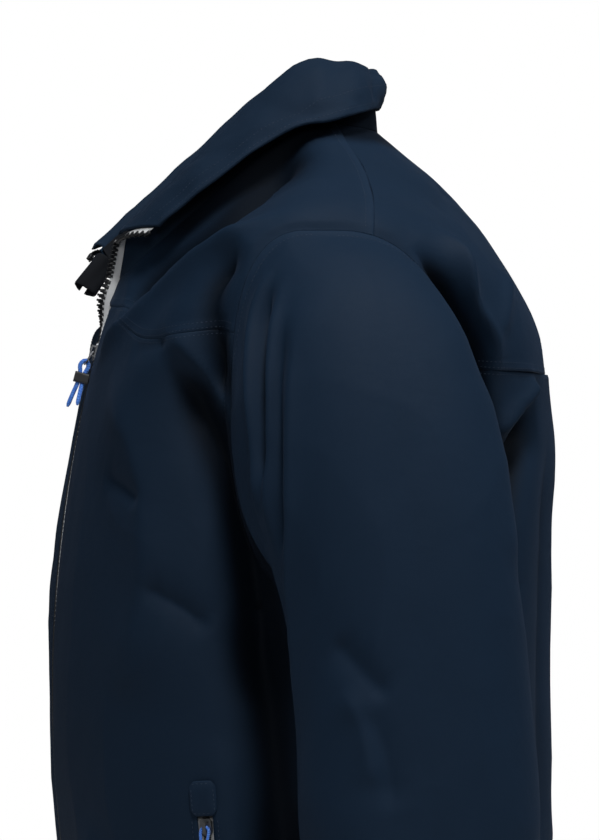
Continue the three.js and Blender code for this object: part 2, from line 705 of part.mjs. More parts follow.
const LABEL_HALF = 15;
const LABEL_FACE_Y = 1.2;
const LABEL_BACK_Y = 1.8;
const LABEL_FOOT_Z = -48;
const LABEL_HEAD_Z = -19;
const label = block(-LABEL_HALF, LABEL_HALF, LABEL_FACE_Y, LABEL_BACK_Y, LABEL_FOOT_Z, LABEL_HEAD_Z);
add('size_label', label, LABEL_WHITE);

// ---------------------------------------------------------------- front zip pieces

addPair('zip_tape', zipTape(), WHITE_TAPE);
add('left_zip_teeth', zipTeeth(1), DARK_PLASTIC);
add('right_zip_teeth', mirrorGeometry(zipTeeth(0)), DARK_PLASTIC);

// A frame that rides on the zip at height z: across, down along the zip, and out of the cloth.
function zipFrame(z) {
  const { p, n } = frontStation(z);
  const origin = new THREE.Vector3(0, p.y, p.z);
  const out = new THREE.Vector3(0, n.y, n.z).normalize();
  const across = new THREE.Vector3(-1, 0, 0);
  return { origin, across, along: new THREE.Vector3().crossVectors(out, across), out };
}

const SLIDER_HALF_WIDTH = 5.8;
const SLIDER_HALF_LENGTH = 7;
const WING_IN = TEETH_HALF_THICK + 0.35;
const WING_OUT = WING_IN + 1.2;
const FLANGE_IN = TOOTH_ROOT + 0.4;
const POST_HALF = TOOTH_TIP - 0.3;
const BAIL_HEIGHT = 3.2;
const BAIL_THICK = 1.2;
const BAIL_HALF_WIDTH = 1.4;
const BAIL_REAR = -4.5;
const BAIL_FRONT = 4;
const SLIDER_CORNER = 2.5;
const POST_LENGTH = 3;
const OVERLAP = 0.1;          // pieces of one casting run into each other by this much

// The slider: two wings joined by a post, edges that guide the teeth, and an arch for the pull.
function mainSlider() {
  const [width, length] = [SLIDER_HALF_WIDTH, SLIDER_HALF_LENGTH];
  const wing = (z0, z1) => roundedPlate(-width, width, -length, length, z0, z1, SLIDER_CORNER);
  const straight = length - SLIDER_CORNER;
  const flange = (side, z0, z1) => (side > 0
    ? block(FLANGE_IN, width, -straight, straight, z0, z1)
    : block(-width, -FLANGE_IN, -straight, straight, z0, z1));
  const lip = TAPE_HALF_THICK + 0.4;
  const root = WING_IN + OVERLAP;
  const bailTop = WING_OUT + BAIL_HEIGHT;
  const bail = (y0, y1, z0) => block(-BAIL_HALF_WIDTH, BAIL_HALF_WIDTH, y0, y1, z0, bailTop);
  return union(
    wing(WING_IN, WING_OUT),
    wing(-WING_OUT, -WING_IN),
    block(-POST_HALF, POST_HALF, -length, -length + POST_LENGTH, -root, root),
    flange(1, lip, root),
    flange(-1, lip, root),
    flange(1, -root, -lip),
    flange(-1, -root, -lip),
    bail(BAIL_REAR, BAIL_REAR + BAIL_HALF_WIDTH, WING_OUT - OVERLAP),
    bail(BAIL_FRONT - BAIL_HALF_WIDTH, BAIL_FRONT, WING_OUT - OVERLAP),
    bail(BAIL_REAR, BAIL_FRONT, bailTop - BAIL_THICK),
  );
}
const sliderFrame = zipFrame(SLIDER_Z);
add('main_slider', placed(mainSlider(), sliderFrame), STEEL);

// The box at the foot of the right half takes the pin of the left half.
const footFrame = zipFrame(RETAINER_Z - 6);
add('zip_retainer_box', placed(block(1, 6.2, -4.5, 4.5, -2, 2), footFrame), DARK_PLASTIC);
add('zip_insertion_pin', placed(block(-4.4, -1.6, -4.5, 4.5, -1.2, 1.2), footFrame), DARK_PLASTIC);

// ---- the pull: a ring through the slider's arch, a cord looped through the ring, and a grip
const RING_HALF_WIDTH = 3.1;
const RING_WIRE = 0.7;
const RING_TOP = 0.5;         // along the slider, down from its middle
const RING_BOTTOM = 11;
const RING_TOP_OUT = WING_OUT + 1;
const RING_BOTTOM_OUT = RING_TOP_OUT + 3.6;
const pullPoint = (x, down, out) => {
  const { origin, across, along, out: normal } = sliderFrame;
  const point = origin.clone().addScaledVector(across, -x).addScaledVector(along, down);
  return point.addScaledVector(normal, out).toArray();
};

// The ring is a rounded rectangle of wire that leans out from the slider.
function pullRing() {
  const corner = (side, end) => {
    const inset = end === 0 ? 1 : -1;
    return [[side * (RING_HALF_WIDTH - 0.9), end, 0], [side * RING_HALF_WIDTH, end, inset * 0.9]];
  };
  const outline = [
    [0, 0, 0], ...corner(1, 0), ...corner(1, 1).reverse(), [0, 1, 0],
    ...corner(-1, 1), ...corner(-1, 0).reverse(), [-0.05, 0, 0],
  ];
  const points = outline.map(([x, end, shift]) => {
    const down = mix(RING_TOP, RING_BOTTOM, end) + shift;
    const f = (down - RING_TOP) / (RING_BOTTOM - RING_TOP);
    return pullPoint(x, down, mix(RING_TOP_OUT, RING_BOTTOM_OUT, f));
  });
  return cord(points, RING_WIRE, 26, 5);
}

const CORD_RADIUS = 1.5;
const GRIP_AT = 20;
const STRAND = CORD_RADIUS + 0.2;   // each strand's distance from the middle of the pair
const knotPoint = (x, down, out = 0) => pullPoint(x, GRIP_AT + down, RING_BOTTOM_OUT + out);
add('main_pull_ring', pullRing(), STEEL);

// One cord: through the ring, its two strands through the grip, and on as two free tails.
function pullCord() {
  const apart = STRAND + RING_WIRE + 0.7;
  const bight = RING_BOTTOM - RING_WIRE - STRAND - 0.6;
  return cord([
    knotPoint(-1, 25, 4.5), knotPoint(-0.5, 14, 3), knotPoint(0, 6, STRAND), knotPoint(0, -2, STRAND),
    pullPoint(0, RING_BOTTOM + 1, RING_BOTTOM_OUT + apart), pullPoint(0, bight, RING_BOTTOM_OUT),
    pullPoint(0, RING_BOTTOM + 1, RING_BOTTOM_OUT - apart), knotPoint(0, -2, -STRAND),
    knotPoint(0, 6, -STRAND), knotPoint(4, 14, -STRAND), knotPoint(8, 22, -STRAND),
  ], CORD_RADIUS, 40);
}
add('main_pull_cord', pullCord(), BLUE_CORD);

// The grip is a moulded sleeve with a slot that the two strands pass through.
function pullGrip() {
  const origin = new THREE.Vector3(...knotPoint(0, 1.5));
  const outer = roundedPlate(-3, 3, -4, 4, -5.2, 5.2, 1.5);
  const [slotWidth, slotHeight] = [STRAND + 0.1, CORD_RADIUS + STRAND + 0.2];
  const slot = block(-slotWidth, slotWidth, -6, 6, -slotHeight, slotHeight);
  const { across, along, out } = sliderFrame;
  return placed(subtract(outer, slot), { origin, across, along, out });
}
add('main_pull_grip', pullGrip(), DARK_PLASTIC);

// ---------------------------------------------------------------- hand pockets

const COIL_TOP = -1.1;
const COIL_FLOOR = -2.9;
const COIL_HALF = 2.5;
const POCKET_SLIDER_TOP = 9;
const POCKET_SLIDER_LENGTH = 12;

const POCKET_TAPE_HALF = 14;
const POCKET_TAPE_FLOOR = -5;
const POCKET_TAPE_TOP = -4.2;
const pocketTape = block(
  -POCKET_TAPE_HALF, POCKET_TAPE_HALF, -10, pocketLength + 5, POCKET_TAPE_FLOOR, POCKET_TAPE_TOP);

addPair('pocket_zip_tape', inPocket(pocketTape), WHITE_TAPE);
addPair(
  'pocket_zip_coil',
  inPocket(block(-COIL_HALF, COIL_HALF, -3, pocketLength + 3, COIL_FLOOR, COIL_TOP)),
  DARK_PLASTIC,
);

// The garage is a rounded patch bonded over the head of the zip.
const GARAGE_HALF = 10;
const GARAGE_HEAD = -18;
const GARAGE_FOOT = 7;
const GARAGE_CORNER = 5;
const garage = roundedPlate(-GARAGE_HALF, GARAGE_HALF, GARAGE_HEAD, GARAGE_FOOT, 0.5, 1.3, GARAGE_CORNER);
addPair('pocket_garage', inPocket(garage), NAVY_LIGHT);

// The bag hangs inside between the shell and the lining, two layers pressed flat.
const POCKET_BAG_DEPTH = 8.6;
const POCKET_BAG = 1.6;
const bagAt = (u, v, depth) => {
  const z = mix(POCKET_BOTTOM_Z - 28, POCKET_TOP_Z + 22, v);
  const angle = mix(30 * DEG, 78 * DEG, u);
  return below(bodySkin, angle, ringAt(angle, z), depth);
};
addPair('pocket_bag', sheet(bagAt, 6, 5, POCKET_BAG_DEPTH, POCKET_BAG_DEPTH + POCKET_BAG), LINING_GREY);

// A plate over the coil, a wall down each side of it, and a bridge for the pull.
function pocketSlider() {
  const [width, inside, corner, wire] = [4.2, COIL_HALF + 0.4, 2, 1.2];
  const [y0, y1] = [POCKET_SLIDER_TOP + corner, POCKET_SLIDER_TOP + POCKET_SLIDER_LENGTH - corner];
  const top = COIL_TOP + 0.3;
  const plate = top + 1.3;
  const bridge = top + 5.2;
  return union(
    roundedPlate(-width, width, y0 - corner, y1 + corner, top, plate, corner),
    block(-width, -inside, y0, y1, COIL_FLOOR, top + OVERLAP),
    block(inside, width, y0, y1, COIL_FLOOR, top + OVERLAP),
    block(-wire, wire, y0, y0 + wire, plate - OVERLAP, bridge),
    block(-wire, wire, y1 - wire, y1, plate - OVERLAP, bridge),
    block(-wire, wire, y0, y1, bridge - 1, bridge),
  );
}
addPair('pocket_slider', inPocket(pocketSlider()), STEEL);

const POCKET_CORD_RADIUS = 1.1;
const pocketBridge = COIL_TOP + 1.6 + POCKET_CORD_RADIUS + 0.35;

// A cord loop threaded through the slider's bridge, hanging straight down.
function pocketPullCord() {
  const y = POCKET_SLIDER_TOP + POCKET_SLIDER_LENGTH / 2;
  const start = pocketTop.clone().addScaledVector(pocketDown, y).addScaledVector(pocketOut, pocketBridge);
  const at = (x, drop, out) => start.clone().addScaledVector(pocketFrame.across, x)
    .addScaledVector(pocketOut, out).add(new THREE.Vector3(0, 0, -drop)).toArray();
  return cord([
    at(-2.4, 34, 2.6), at(-1.6, 20, 2.4), at(-2.4, 9, 1.8), at(-3, 3, 0.8), at(-1.6, 0, 0), at(1.6, 0, 0),
    at(3, 3, 0.8), at(2.4, 9, 1.8), at(1.6, 20, 2.4), at(2.4, 34, 2.6),
  ], POCKET_CORD_RADIUS, 26);
}
addPair('pocket_pull_cord', pocketPullCord(), BLUE_CORD);

// ---------------------------------------------------------------- sleeves and cuffs

const SLEEVE_COLUMNS = 18;
const SLEEVE_LINING_DEPTH = 7;
const CUFF_CLOTH = 2;
const sleeveLiningAt = sleevePart(0.25, CUFF_START - 0.05);
const sleeveLiningBack = SLEEVE_LINING_DEPTH + LINING;
const cuffAt = sleevePart(CUFF_START + 0.008, SLEEVE_END);
addPair('sleeve', sheet(sleevePart(ARM_START, CUFF_START), SLEEVE_COLUMNS, 11, 0, CLOTH, true), NAVY_LIGHT);
addPair(
  'sleeve_lining',
  sheet(sleeveLiningAt, SLEEVE_COLUMNS, 6, SLEEVE_LINING_DEPTH, sleeveLiningBack, true),
  LINING_GREY,
);
addPair('cuff', sheet(cuffAt, SLEEVE_COLUMNS, 1, 0, CUFF_CLOTH, true), NAVY);

// The tab wraps the outside of the cuff towards the back; a hook-and-loop patch lies under its end.
const TAB_START = -0.1;
const TAB_END = -0.27;
const [TAB_FACE, TAB_BACK] = [-3.2, -1.9];
const [PATCH_FACE, PATCH_BACK] = [-1.4, -0.6];
const tabPart = (u0, u1, v0, v1) => (u, v, depth) => (
  below(sleeveSkin, 2 * Math.PI * mix(u0, u1, u), mix(v0, v1, v), depth));
const patchAt = tabPart(TAB_END + 0.09, TAB_END - 0.04, 6.6, 6.9);
const tabAt = tabPart(TAB_START, TAB_END, 6.58, 6.92);
addPair('cuff_patch', sheet(patchAt, 8, 1, PATCH_FACE, PATCH_BACK), CHARCOAL);
addPair('cuff_tab', sheet(tabAt, 10, 1, TAB_FACE, TAB_BACK), NAVY_LIGHT);

// ---------------------------------------------------------------- hem drawcord

const HEM_CORD_Z = HEM_Z + 20;
const HEM_CORD_DEPTH = 10;
const HEM_CORD_RADIUS = 1.5;
const HEM_CORD_START = 20;

// The drawcord runs inside the hem from one side of the zip, round the back, to the other.
function hemDrawcord() {
  const points = [];
  for (let angle = HEM_CORD_START; angle <= 360 - HEM_CORD_START; angle += 10) {
    points.push(below(bodySkin, angle * DEG, ringAt(angle * DEG, HEM_CORD_Z), HEM_CORD_DEPTH).toArray());
  }
  return cord(points, HEM_CORD_RADIUS, 48, 6);
}
add('hem_drawcord', hemDrawcord(), DARK_PLASTIC);

// A cord lock on each side: a square barrel the cord passes through, and a plunger that frees it.
const LOCK_ANGLE = 90 * DEG;
const lockCentre = below(bodySkin, LOCK_ANGLE, ringAt(LOCK_ANGLE, HEM_CORD_Z), HEM_CORD_DEPTH);
const LOCK_HALF = 5;
const LOCK_WALL = 2.6;
const PLUNGER_HALF = 2.1;
const PLUNGER_TRAVEL = 2.5;
const LOCK_TOP = 9;

function cordLock() {
  const barrel = block(-LOCK_HALF, LOCK_HALF, -LOCK_HALF, LOCK_HALF, -LOCK_HALF, LOCK_TOP);
  const way = block(-LOCK_WALL, LOCK_WALL, -LOCK_HALF - 1, LOCK_HALF + 1, -LOCK_WALL, LOCK_WALL);
  const well = block(-LOCK_WALL, LOCK_WALL, -LOCK_WALL, LOCK_WALL, 0, LOCK_TOP + 1);
  return subtract(barrel, way, well).translate(lockCentre.x, lockCentre.y, lockCentre.z);
}

function lockPlunger() {
  const foot = HEM_CORD_RADIUS + PLUNGER_TRAVEL + 0.4;
  const cap = LOCK_TOP + PLUNGER_TRAVEL + 0.4;
  return union(
    block(-PLUNGER_HALF, PLUNGER_HALF, -PLUNGER_HALF, PLUNGER_HALF, foot, cap + 0.1),
    block(-LOCK_HALF + 0.6, LOCK_HALF - 0.6, -LOCK_HALF + 0.6, LOCK_HALF - 0.6, cap, cap + 2.4),
  ).translate(lockCentre.x, lockCentre.y, lockCentre.z);
}
addPair('cord_lock', cordLock(), DARK_PLASTIC);
addPair('cord_lock_plunger', lockPlunger(), DARK_PLASTIC);

export default jacket;
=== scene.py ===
"""Foul weather jacket: cloth, seams, zips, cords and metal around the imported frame.

The measures in this script are millimetres, in the frame's axes: +Z up, the front faces -Y and the
wearer's left is +X. They become metres when a mesh is made.
"""

import math

import bmesh
import bpy
import numpy as np
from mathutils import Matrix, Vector, noise


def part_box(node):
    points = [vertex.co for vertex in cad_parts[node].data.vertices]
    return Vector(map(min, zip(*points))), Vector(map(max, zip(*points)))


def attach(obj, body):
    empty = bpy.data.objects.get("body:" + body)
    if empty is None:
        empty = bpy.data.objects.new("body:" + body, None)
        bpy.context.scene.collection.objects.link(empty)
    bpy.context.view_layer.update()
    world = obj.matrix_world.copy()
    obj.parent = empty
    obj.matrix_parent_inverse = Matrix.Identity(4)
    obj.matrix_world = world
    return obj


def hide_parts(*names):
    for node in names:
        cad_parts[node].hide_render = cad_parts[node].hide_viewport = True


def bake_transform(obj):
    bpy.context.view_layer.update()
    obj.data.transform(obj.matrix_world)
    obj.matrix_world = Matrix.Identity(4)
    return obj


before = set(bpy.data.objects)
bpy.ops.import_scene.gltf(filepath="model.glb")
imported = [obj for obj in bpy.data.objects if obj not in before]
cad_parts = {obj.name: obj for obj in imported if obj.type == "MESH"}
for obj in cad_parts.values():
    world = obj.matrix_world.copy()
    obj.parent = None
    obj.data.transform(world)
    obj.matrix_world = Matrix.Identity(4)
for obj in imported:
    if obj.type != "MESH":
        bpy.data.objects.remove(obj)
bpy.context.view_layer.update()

MM = 0.001
DEG = math.pi / 180

# ---------------------------------------------------------------- camera

CAMERA_AZIMUTH = 83 * DEG
CAMERA_DISTANCE = 3.0
CAMERA_LENS = 171.4
CAMERA_TARGET = Vector((0, -0.0447, -0.219))


def add_camera():
    camera = bpy.data.objects.new("camera", bpy.data.cameras.new("camera"))
    bpy.context.collection.objects.link(camera)
    away = Vector((math.sin(CAMERA_AZIMUTH), -math.cos(CAMERA_AZIMUTH), 0))
    camera.location = CAMERA_TARGET + CAMERA_DISTANCE * away
    camera.rotation_euler = away.to_track_quat("Z", "Y").to_euler()
    camera.data.lens = CAMERA_LENS
    bpy.context.scene.camera = camera


add_camera()

# ---------------------------------------------------------------- numbers and curves


def mix(a, b, f):
    return a + (b - a) * f


def smooth(f):
    f = np.clip(f, 0, 1)
    return f * f * (3 - 2 * f)


def signed(value, power):
    return np.sign(value) * np.abs(value) ** power


def unit(vectors):
    return vectors / np.linalg.norm(vectors, axis=-1, keepdims=True)


def between(p0, p1, p2, p3, f):
    """A smooth value a share f of the way from p1 to p2, with p0 before them and p3 after."""
    bend = 2 * p0 - 5 * p1 + 4 * p2 - p3
    return p1 + 0.5 * f * (p2 - p0 + f * (bend + f * (3 * (p1 - p2) + p3 - p0)))


def through(values, t):
    """A smooth value through evenly spaced knots."""
    values = np.asarray(values, float)
    ends = [2 * values[0] - values[1]], values, [2 * values[-1] - values[-2]]
    knots = np.concatenate(ends)
    k = np.clip(np.floor(t).astype(int), 0, len(values) - 2)
    f = t - k
    if values.ndim > 1:
        f = f[..., None]
    return between(*(knots[k + i] for i in range(4)), f)


def smooth_path(points, count):
    """The given number of points on one smooth curve through the given ones."""
    points = np.asarray(points, float)
    fine = through(points, np.linspace(0, len(points) - 1, 40 * len(points)))
    along = np.concatenate([[0], np.cumsum(np.linalg.norm(np.diff(fine, axis=0), axis=1))])
    places = np.linspace(0, along[-1], count)
    return np.stack([np.interp(places, along, fine[:, k]) for k in range(3)], 1)


def distance_to(points, path):
    """Each point's distance to a path, and how far along the path its nearest point is, from 0 to 1."""
    starts, steps = path[:-1], np.diff(path, axis=0)
    offset = points[:, None, :] - starts[None, :, :]
    share = np.clip((offset * steps).sum(2) / (steps**2).sum(1), 0, 1)
    gaps = np.linalg.norm(offset - share[..., None] * steps, axis=2)
    nearest = gaps.argmin(1)
    rows = np.arange(len(points))
    return gaps[rows, nearest], (nearest + share[rows, nearest]) / len(steps)


# ---------------------------------------------------------------- the body's surface, as in the frame

ZIP_RADIUS, ZIP_CENTRE_Y, ZIP_CENTRE_Z = 1000, 769, -420
HEM_Z, UNDERARM_Z, SHOULDER_Z, NECK_FRONT_Z = -785, -346, -86, -116

BODY_RINGS = {
    "frontZ": [HEM_Z, -640, -490, UNDERARM_Z, -262, -190, -148, NECK_FRONT_Z],
    "sideZ": [HEM_Z, -640, -490, UNDERARM_Z, -225, SHOULDER_Z, -38, -2],
    "backZ": [HEM_Z, -640, -490, UNDERARM_Z, -235, -150, -62, -5],
    "half": [196, 200, 200, 196, 193, 205, 132, 73],
    "sideY": [-36, -36, -35, -32, -40, -52, -42, -36],
    "backY": [141, 146, 147, 147, 146, 127, 73, 12.5],
    "power": [2.5, 2.5, 2.5, 2.5, 2.5, 2.4, 2.3, 2.2],
    "soft": [0.5, 0.5, 0.5, 0.5, 0.5, 0.5, 0.4, 0.25],
}
NECK = 7


def zip_y(z):
    return ZIP_CENTRE_Y - np.sqrt(ZIP_RADIUS**2 - (z - ZIP_CENTRE_Z) ** 2)


def dip(h, soft):
    return (np.hypot(h, soft) - soft) / (np.hypot(1, soft) - soft)


def ring_point(ring, angle):
    """A point on a ring round the body. Angle 0 is the front, a quarter turn the wearer's left."""
    forward = np.cos(angle)
    h = np.abs(forward) ** (2 / ring["power"])
    g = np.abs(np.sin(angle)) ** (2 / ring["power"])
    end_y = np.where(forward >= 0, ring["frontY"], ring["backY"])
    end_z = np.where(forward >= 0, ring["frontZ"], ring["backZ"])
    return np.stack(
        [
            np.sign(np.sin(angle)) * ring["half"] * g,
            mix(ring["sideY"], end_y, h),
            mix(ring["sideZ"], end_z, dip(h, ring["soft"])),
        ],
        -1,
    )


def body_ring(t):
    ring = {key: through(values, t) for key, values in BODY_RINGS.items()}
    ring["frontY"] = zip_y(ring["frontZ"])
    return ring


def body_skin(angle, t):
    angle, t = np.broadcast_arrays(np.asarray(angle, float), np.asarray(t, float))
    return ring_point(body_ring(t), angle)


def normal_of(skin, a, b, turn=1):
    step = 1e-3
    along_a = skin(a + step, b) - skin(a - step, b)
    along_b = skin(a, b + step) - skin(a, b - step)
    return unit(np.cross(along_a, along_b)) * turn


def below(skin, a, b, depth, turn=1):
    return skin(a, b) - depth * normal_of(skin, a, b, turn)


def ring_at(angle, z):
    """The ring height at which the body has height z at this angle."""
    angle, z = np.broadcast_arrays(np.asarray(angle, float), np.asarray(z, float))
    low, high = np.zeros(angle.shape), np.full(angle.shape, float(NECK))
    for _ in range(26):
        middle = (low + high) / 2
        under = body_skin(angle, middle)[..., 2] < z
        low = np.where(under, middle, low)
        high = np.where(under, high, middle)
    return (low + high) / 2


def front_at(x, z):
    """The angle and ring height of a front point x across and z up."""
    x, z = np.broadcast_arrays(np.asarray(x, float), np.asarray(z, float))
    angle = np.zeros(x.shape)
    for _ in range(4):
        t = ring_at(angle, z)
        ring = body_ring(t)
        angle = np.arcsin(np.clip(x / ring["half"], 0, 1) ** (ring["power"] / 2))
    return angle, t


SLIDER_Z = -168
RETAINER_Z = -766
PANEL_EDGE = 7
NECK_SPREAD = 9
SPREAD_START_Z = SLIDER_Z + 9


def edge_spread(z):
    """How far each front edge is drawn off the centre line: open above the slider."""
    return NECK_SPREAD * smooth((z - SPREAD_START_Z) / (NECK_FRONT_Z - SPREAD_START_Z))


ARMHOLE_MIDDLE_Z = (SHOULDER_Z + UNDERARM_Z) / 2
ARMHOLE_HALF_HEIGHT = (SHOULDER_Z - UNDERARM_Z) / 2
ARMHOLE_FRONT, ARMHOLE_REAR, ARMHOLE_LEAN = 21 * DEG, 25 * DEG, 2 * DEG
ARMHOLE_SQUARE = 0.8


def armhole(turn):
    """The armhole's line: turn 0 is its top, a quarter turn the front, half a turn the underarm."""
    rise = signed(np.cos(turn), ARMHOLE_SQUARE)
    side = signed(np.sin(turn), ARMHOLE_SQUARE)
    width = np.where(side > 0, ARMHOLE_FRONT, ARMHOLE_REAR)
    angle = 91 * DEG - rise * ARMHOLE_LEAN - side * width
    z = ARMHOLE_MIDDLE_Z + ARMHOLE_HALF_HEIGHT * rise
    return angle, ring_at(angle, np.minimum(z, SHOULDER_Z - 0.5))


# ---------------------------------------------------------------- the panels' outlines, as in the frame


def knot_line(knots):
    knots = np.array([[float(value) for value in knot] for knot in knots])
    return lambda f: tuple(through(knots[:, k], f * (len(knots) - 1)) for k in range(2))


def joined(first, second, share):
    """Two lines end to end: the first takes the given share."""

    def line(f):
        low = first(np.minimum(f / share, 1))
        high = second(np.maximum((f - share) / (1 - share), 0))
        return tuple(np.where(f < share, low[k], high[k]) for k in range(2))

    return line


def to_right(line):
    def other(f):
        angle, t = line(f)
        return 2 * math.pi - angle, t

    return other


def patch(bottom, top, left, right):
    """Angles and ring heights of a four-sided panel held between its lines."""

    def at(u, v):
        b, t = bottom(u), top(u)
        l, r = left(v), right(v)
        b0, b1, t0, t1 = bottom(0.0), bottom(1.0), top(0.0), top(1.0)
        across, up = np.meshgrid(u, v)
        return tuple(
            mix(b[k][None, :], t[k][None, :], up)
            + mix(l[k][:, None], r[k][:, None], across)
            - mix(mix(b0[k], b1[k], across), mix(t0[k], t1[k], across), up)
            for k in range(2)
        )

    return at


SIDE_SEAM = 93 * DEG
SIDE_SHARE = 0.65
YOKE_FRONT_Z, YOKE_ARM_TURN = -134, 69 * DEG
BACK_YOKE_Z, BACK_YOKE_TURN = -185, 280 * DEG
SHOULDER_TURN = 344 * DEG - 2 * math.pi
NECK_SEAM_ANGLE = 100 * DEG


def edge_line(z0, z1):
    def line(f):
        z = mix(z0, z1, f)
        return front_at(PANEL_EDGE + edge_spread(z), z)

    return line


def arm_line(turn0, turn1):
    return lambda f: armhole(mix(turn0, turn1, f))


def ring_line(angle0, angle1, t):
    return lambda f: (mix(angle0, angle1, f), np.full(np.shape(f), float(t)))


def side_line(f):
    return np.full(np.shape(f), SIDE_SEAM), armhole(math.pi)[1] * f


hem_edge = front_at(PANEL_EDGE, HEM_Z)[0]
neck_edge = front_at(PANEL_EDGE + NECK_SPREAD, NECK_FRONT_Z)[0]
yoke_edge_x = PANEL_EDGE + edge_spread(YOKE_FRONT_Z)
chest_seam = knot_line([
    front_at(yoke_edge_x, YOKE_FRONT_Z),
    front_at(60, YOKE_FRONT_Z),
    front_at(130, YOKE_FRONT_Z - 4),
    armhole(YOKE_ARM_TURN),
])
shoulder_seam = knot_line([(NECK_SEAM_ANGLE, NECK), (102 * DEG, 6), armhole(SHOULDER_TURN)])
back_arm = armhole(BACK_YOKE_TURN)
back_seam = knot_line(
    [(2 * math.pi - back_arm[0], back_arm[1])]
    + [(a * DEG, ring_at(a * DEG, BACK_YOKE_Z)) for a in (210, 180, 150)]
    + [back_arm]
)
side_and_armhole_front = joined(side_line, arm_line(math.pi, YOKE_ARM_TURN), SIDE_SHARE)
side_and_armhole_back = joined(side_line, arm_line(math.pi, BACK_YOKE_TURN), SIDE_SHARE)
neck_line_front = ring_line(neck_edge, NECK_SEAM_ANGLE, NECK)
neck_line_back = ring_line(2 * math.pi - NECK_SEAM_ANGLE, NECK_SEAM_ANGLE, NECK)

front_panel = patch(
    ring_line(hem_edge, SIDE_SEAM, 0),
    chest_seam,
    edge_line(HEM_Z, YOKE_FRONT_Z),
    side_and_armhole_front,
)
front_yoke = patch(
    chest_seam,
    shoulder_seam,
    joined(edge_line(YOKE_FRONT_Z, NECK_FRONT_Z), neck_line_front, 0.14),
    arm_line(YOKE_ARM_TURN, SHOULDER_TURN),
)
back_yoke_arm = arm_line(BACK_YOKE_TURN, SHOULDER_TURN + 2 * math.pi)
back_yoke = patch(
    back_seam,
    joined(
        to_right(lambda f: shoulder_seam(1 - f)), joined(neck_line_back, shoulder_seam, 0.4), 0.375
    ),
    to_right(back_yoke_arm),
    back_yoke_arm,
)
back_panel = patch(
    ring_line(2 * math.pi - SIDE_SEAM, SIDE_SEAM, 0),
    back_seam,
    to_right(side_and_armhole_back),
    side_and_armhole_back,
)

# ---------------------------------------------------------------- sleeves, as in the frame

# Rings of the left sleeve below the armhole: outer x and z, inner x and z, front y and back y.
SLEEVE_RINGS = [
    [237, -109, 204, -350, -116, 54],
    [267, -152, 205.5, -357, -107, 62],
    [290, -225, 206, -374, -95, 70],
    [303, -335, 207, -430, -80, 80],
    [308, -480, 208, -530, -75, 88],
    [306, -610, 212, -630, -64, 85],
    [300, -710, 217, -710, -50, 76],
]
SLEEVE_ROUND = 2 / 2.2
SLEEVE_END = len(SLEEVE_RINGS)
CUFF_START = 6.45


def sleeve_skin(turn, t):
    turn, t = np.broadcast_arrays(np.asarray(turn, float), np.asarray(t, float))
    c = (1 + signed(np.cos(turn), SLEEVE_ROUND)) / 2
    s = (1 + signed(np.sin(turn), SLEEVE_ROUND)) / 2
    rings = [body_skin(*armhole(turn))]
    for outer_x, outer_z, inner_x, inner_z, front, back in SLEEVE_RINGS:
        rings.append(np.stack([mix(inner_x, outer_x, c), mix(back, front, s), mix(inner_z, outer_z, c)], -1))
    rings = np.stack(rings)
    k = np.clip(np.floor(t).astype(int), 0, len(rings) - 2)
    f = (t - k)[..., None]
    knots = np.concatenate([[2 * rings[0] - rings[1]], rings, [2 * rings[-1] - rings[-2]]])
    grid = tuple(np.indices(t.shape))
    return between(*(knots[(k + i, *grid)] for i in range(4)), f)


# ---------------------------------------------------------------- collar, as in the frame

ROLL = {
    "frontZ": -92, "sideZ": 41, "backZ": 37, "half": 64, "frontY": -186, "sideY": -40, "backY": 8,
    "power": 2.2, "soft": 0.15,
}
FALL_EDGE = {
    "frontZ": -115, "sideZ": -3, "backZ": 13, "half": 96, "frontY": -203, "sideY": -42, "backY": 12,
    "power": 2.2, "soft": 0.2,
}
ROLL_END, FALL_END = 21 * DEG, 46 * DEG
ROLL_RADIUS = 4.2
FALL_BULGE = 4.5


def collar_angle(end, f):
    return mix(end, 2 * math.pi - end, f)


def outward_at(f):
    roll = ring_point(ROLL, collar_angle(ROLL_END, f))
    out = np.stack([roll[..., 0], roll[..., 1] - ROLL["sideY"], 0 * f], -1)
    return roll, unit(out)


# The right end of the collar is pushed forward and opens like a tube.
END_PULL = np.array([6.0, -17.0, -9.0])


def right_pull(f, lift):
    return (smooth((f - 0.84) / 0.16) * lift)[..., None] * END_PULL


def stand_skin(f, w):
    f, w = np.broadcast_arrays(np.asarray(f, float), np.asarray(w, float))
    seam = body_skin(collar_angle(neck_edge, f), NECK)
    roll = ring_point(ROLL, collar_angle(ROLL_END, f))
    return mix(seam, roll, w[..., None]) + right_pull(f, np.clip(w, 0, 1))


TURN_SHARE = 0.22             # of the fall's width, the part that turns over the roll


def fall_skin(f, q):
    """The collar from inside the neck, over the roll, to the edge of the fall."""
    f, q = np.broadcast_arrays(np.asarray(f, float), np.asarray(q, float))
    roll, out = outward_at(f)
    up = np.array([0.0, 0.0, 1.0])
    turned = math.pi * (1 - np.clip(q / TURN_SHARE, 0, 1))
    hook = roll + ROLL_RADIUS * (np.cos(turned)[..., None] * out + np.sin(turned)[..., None] * up)
    w = np.clip((q - TURN_SHARE) / (1 - TURN_SHARE), 0, 2)
    edge = ring_point(FALL_EDGE, collar_angle(FALL_END, f))
    bulge = (FALL_BULGE * np.sin(math.pi * w))[..., None]
    down = hook + (edge - roll - ROLL_RADIUS * out) * w[..., None] + bulge * (out + up / 2)
    return np.where(q[..., None] < TURN_SHARE, hook, down) + right_pull(f, np.ones(f.shape))


# ---------------------------------------------------------------- materials


def material_tree(name):
    material = bpy.data.materials.new(name)
    material.use_nodes = True
    tree = material.node_tree
    return material, tree, tree.nodes["Principled BSDF"]


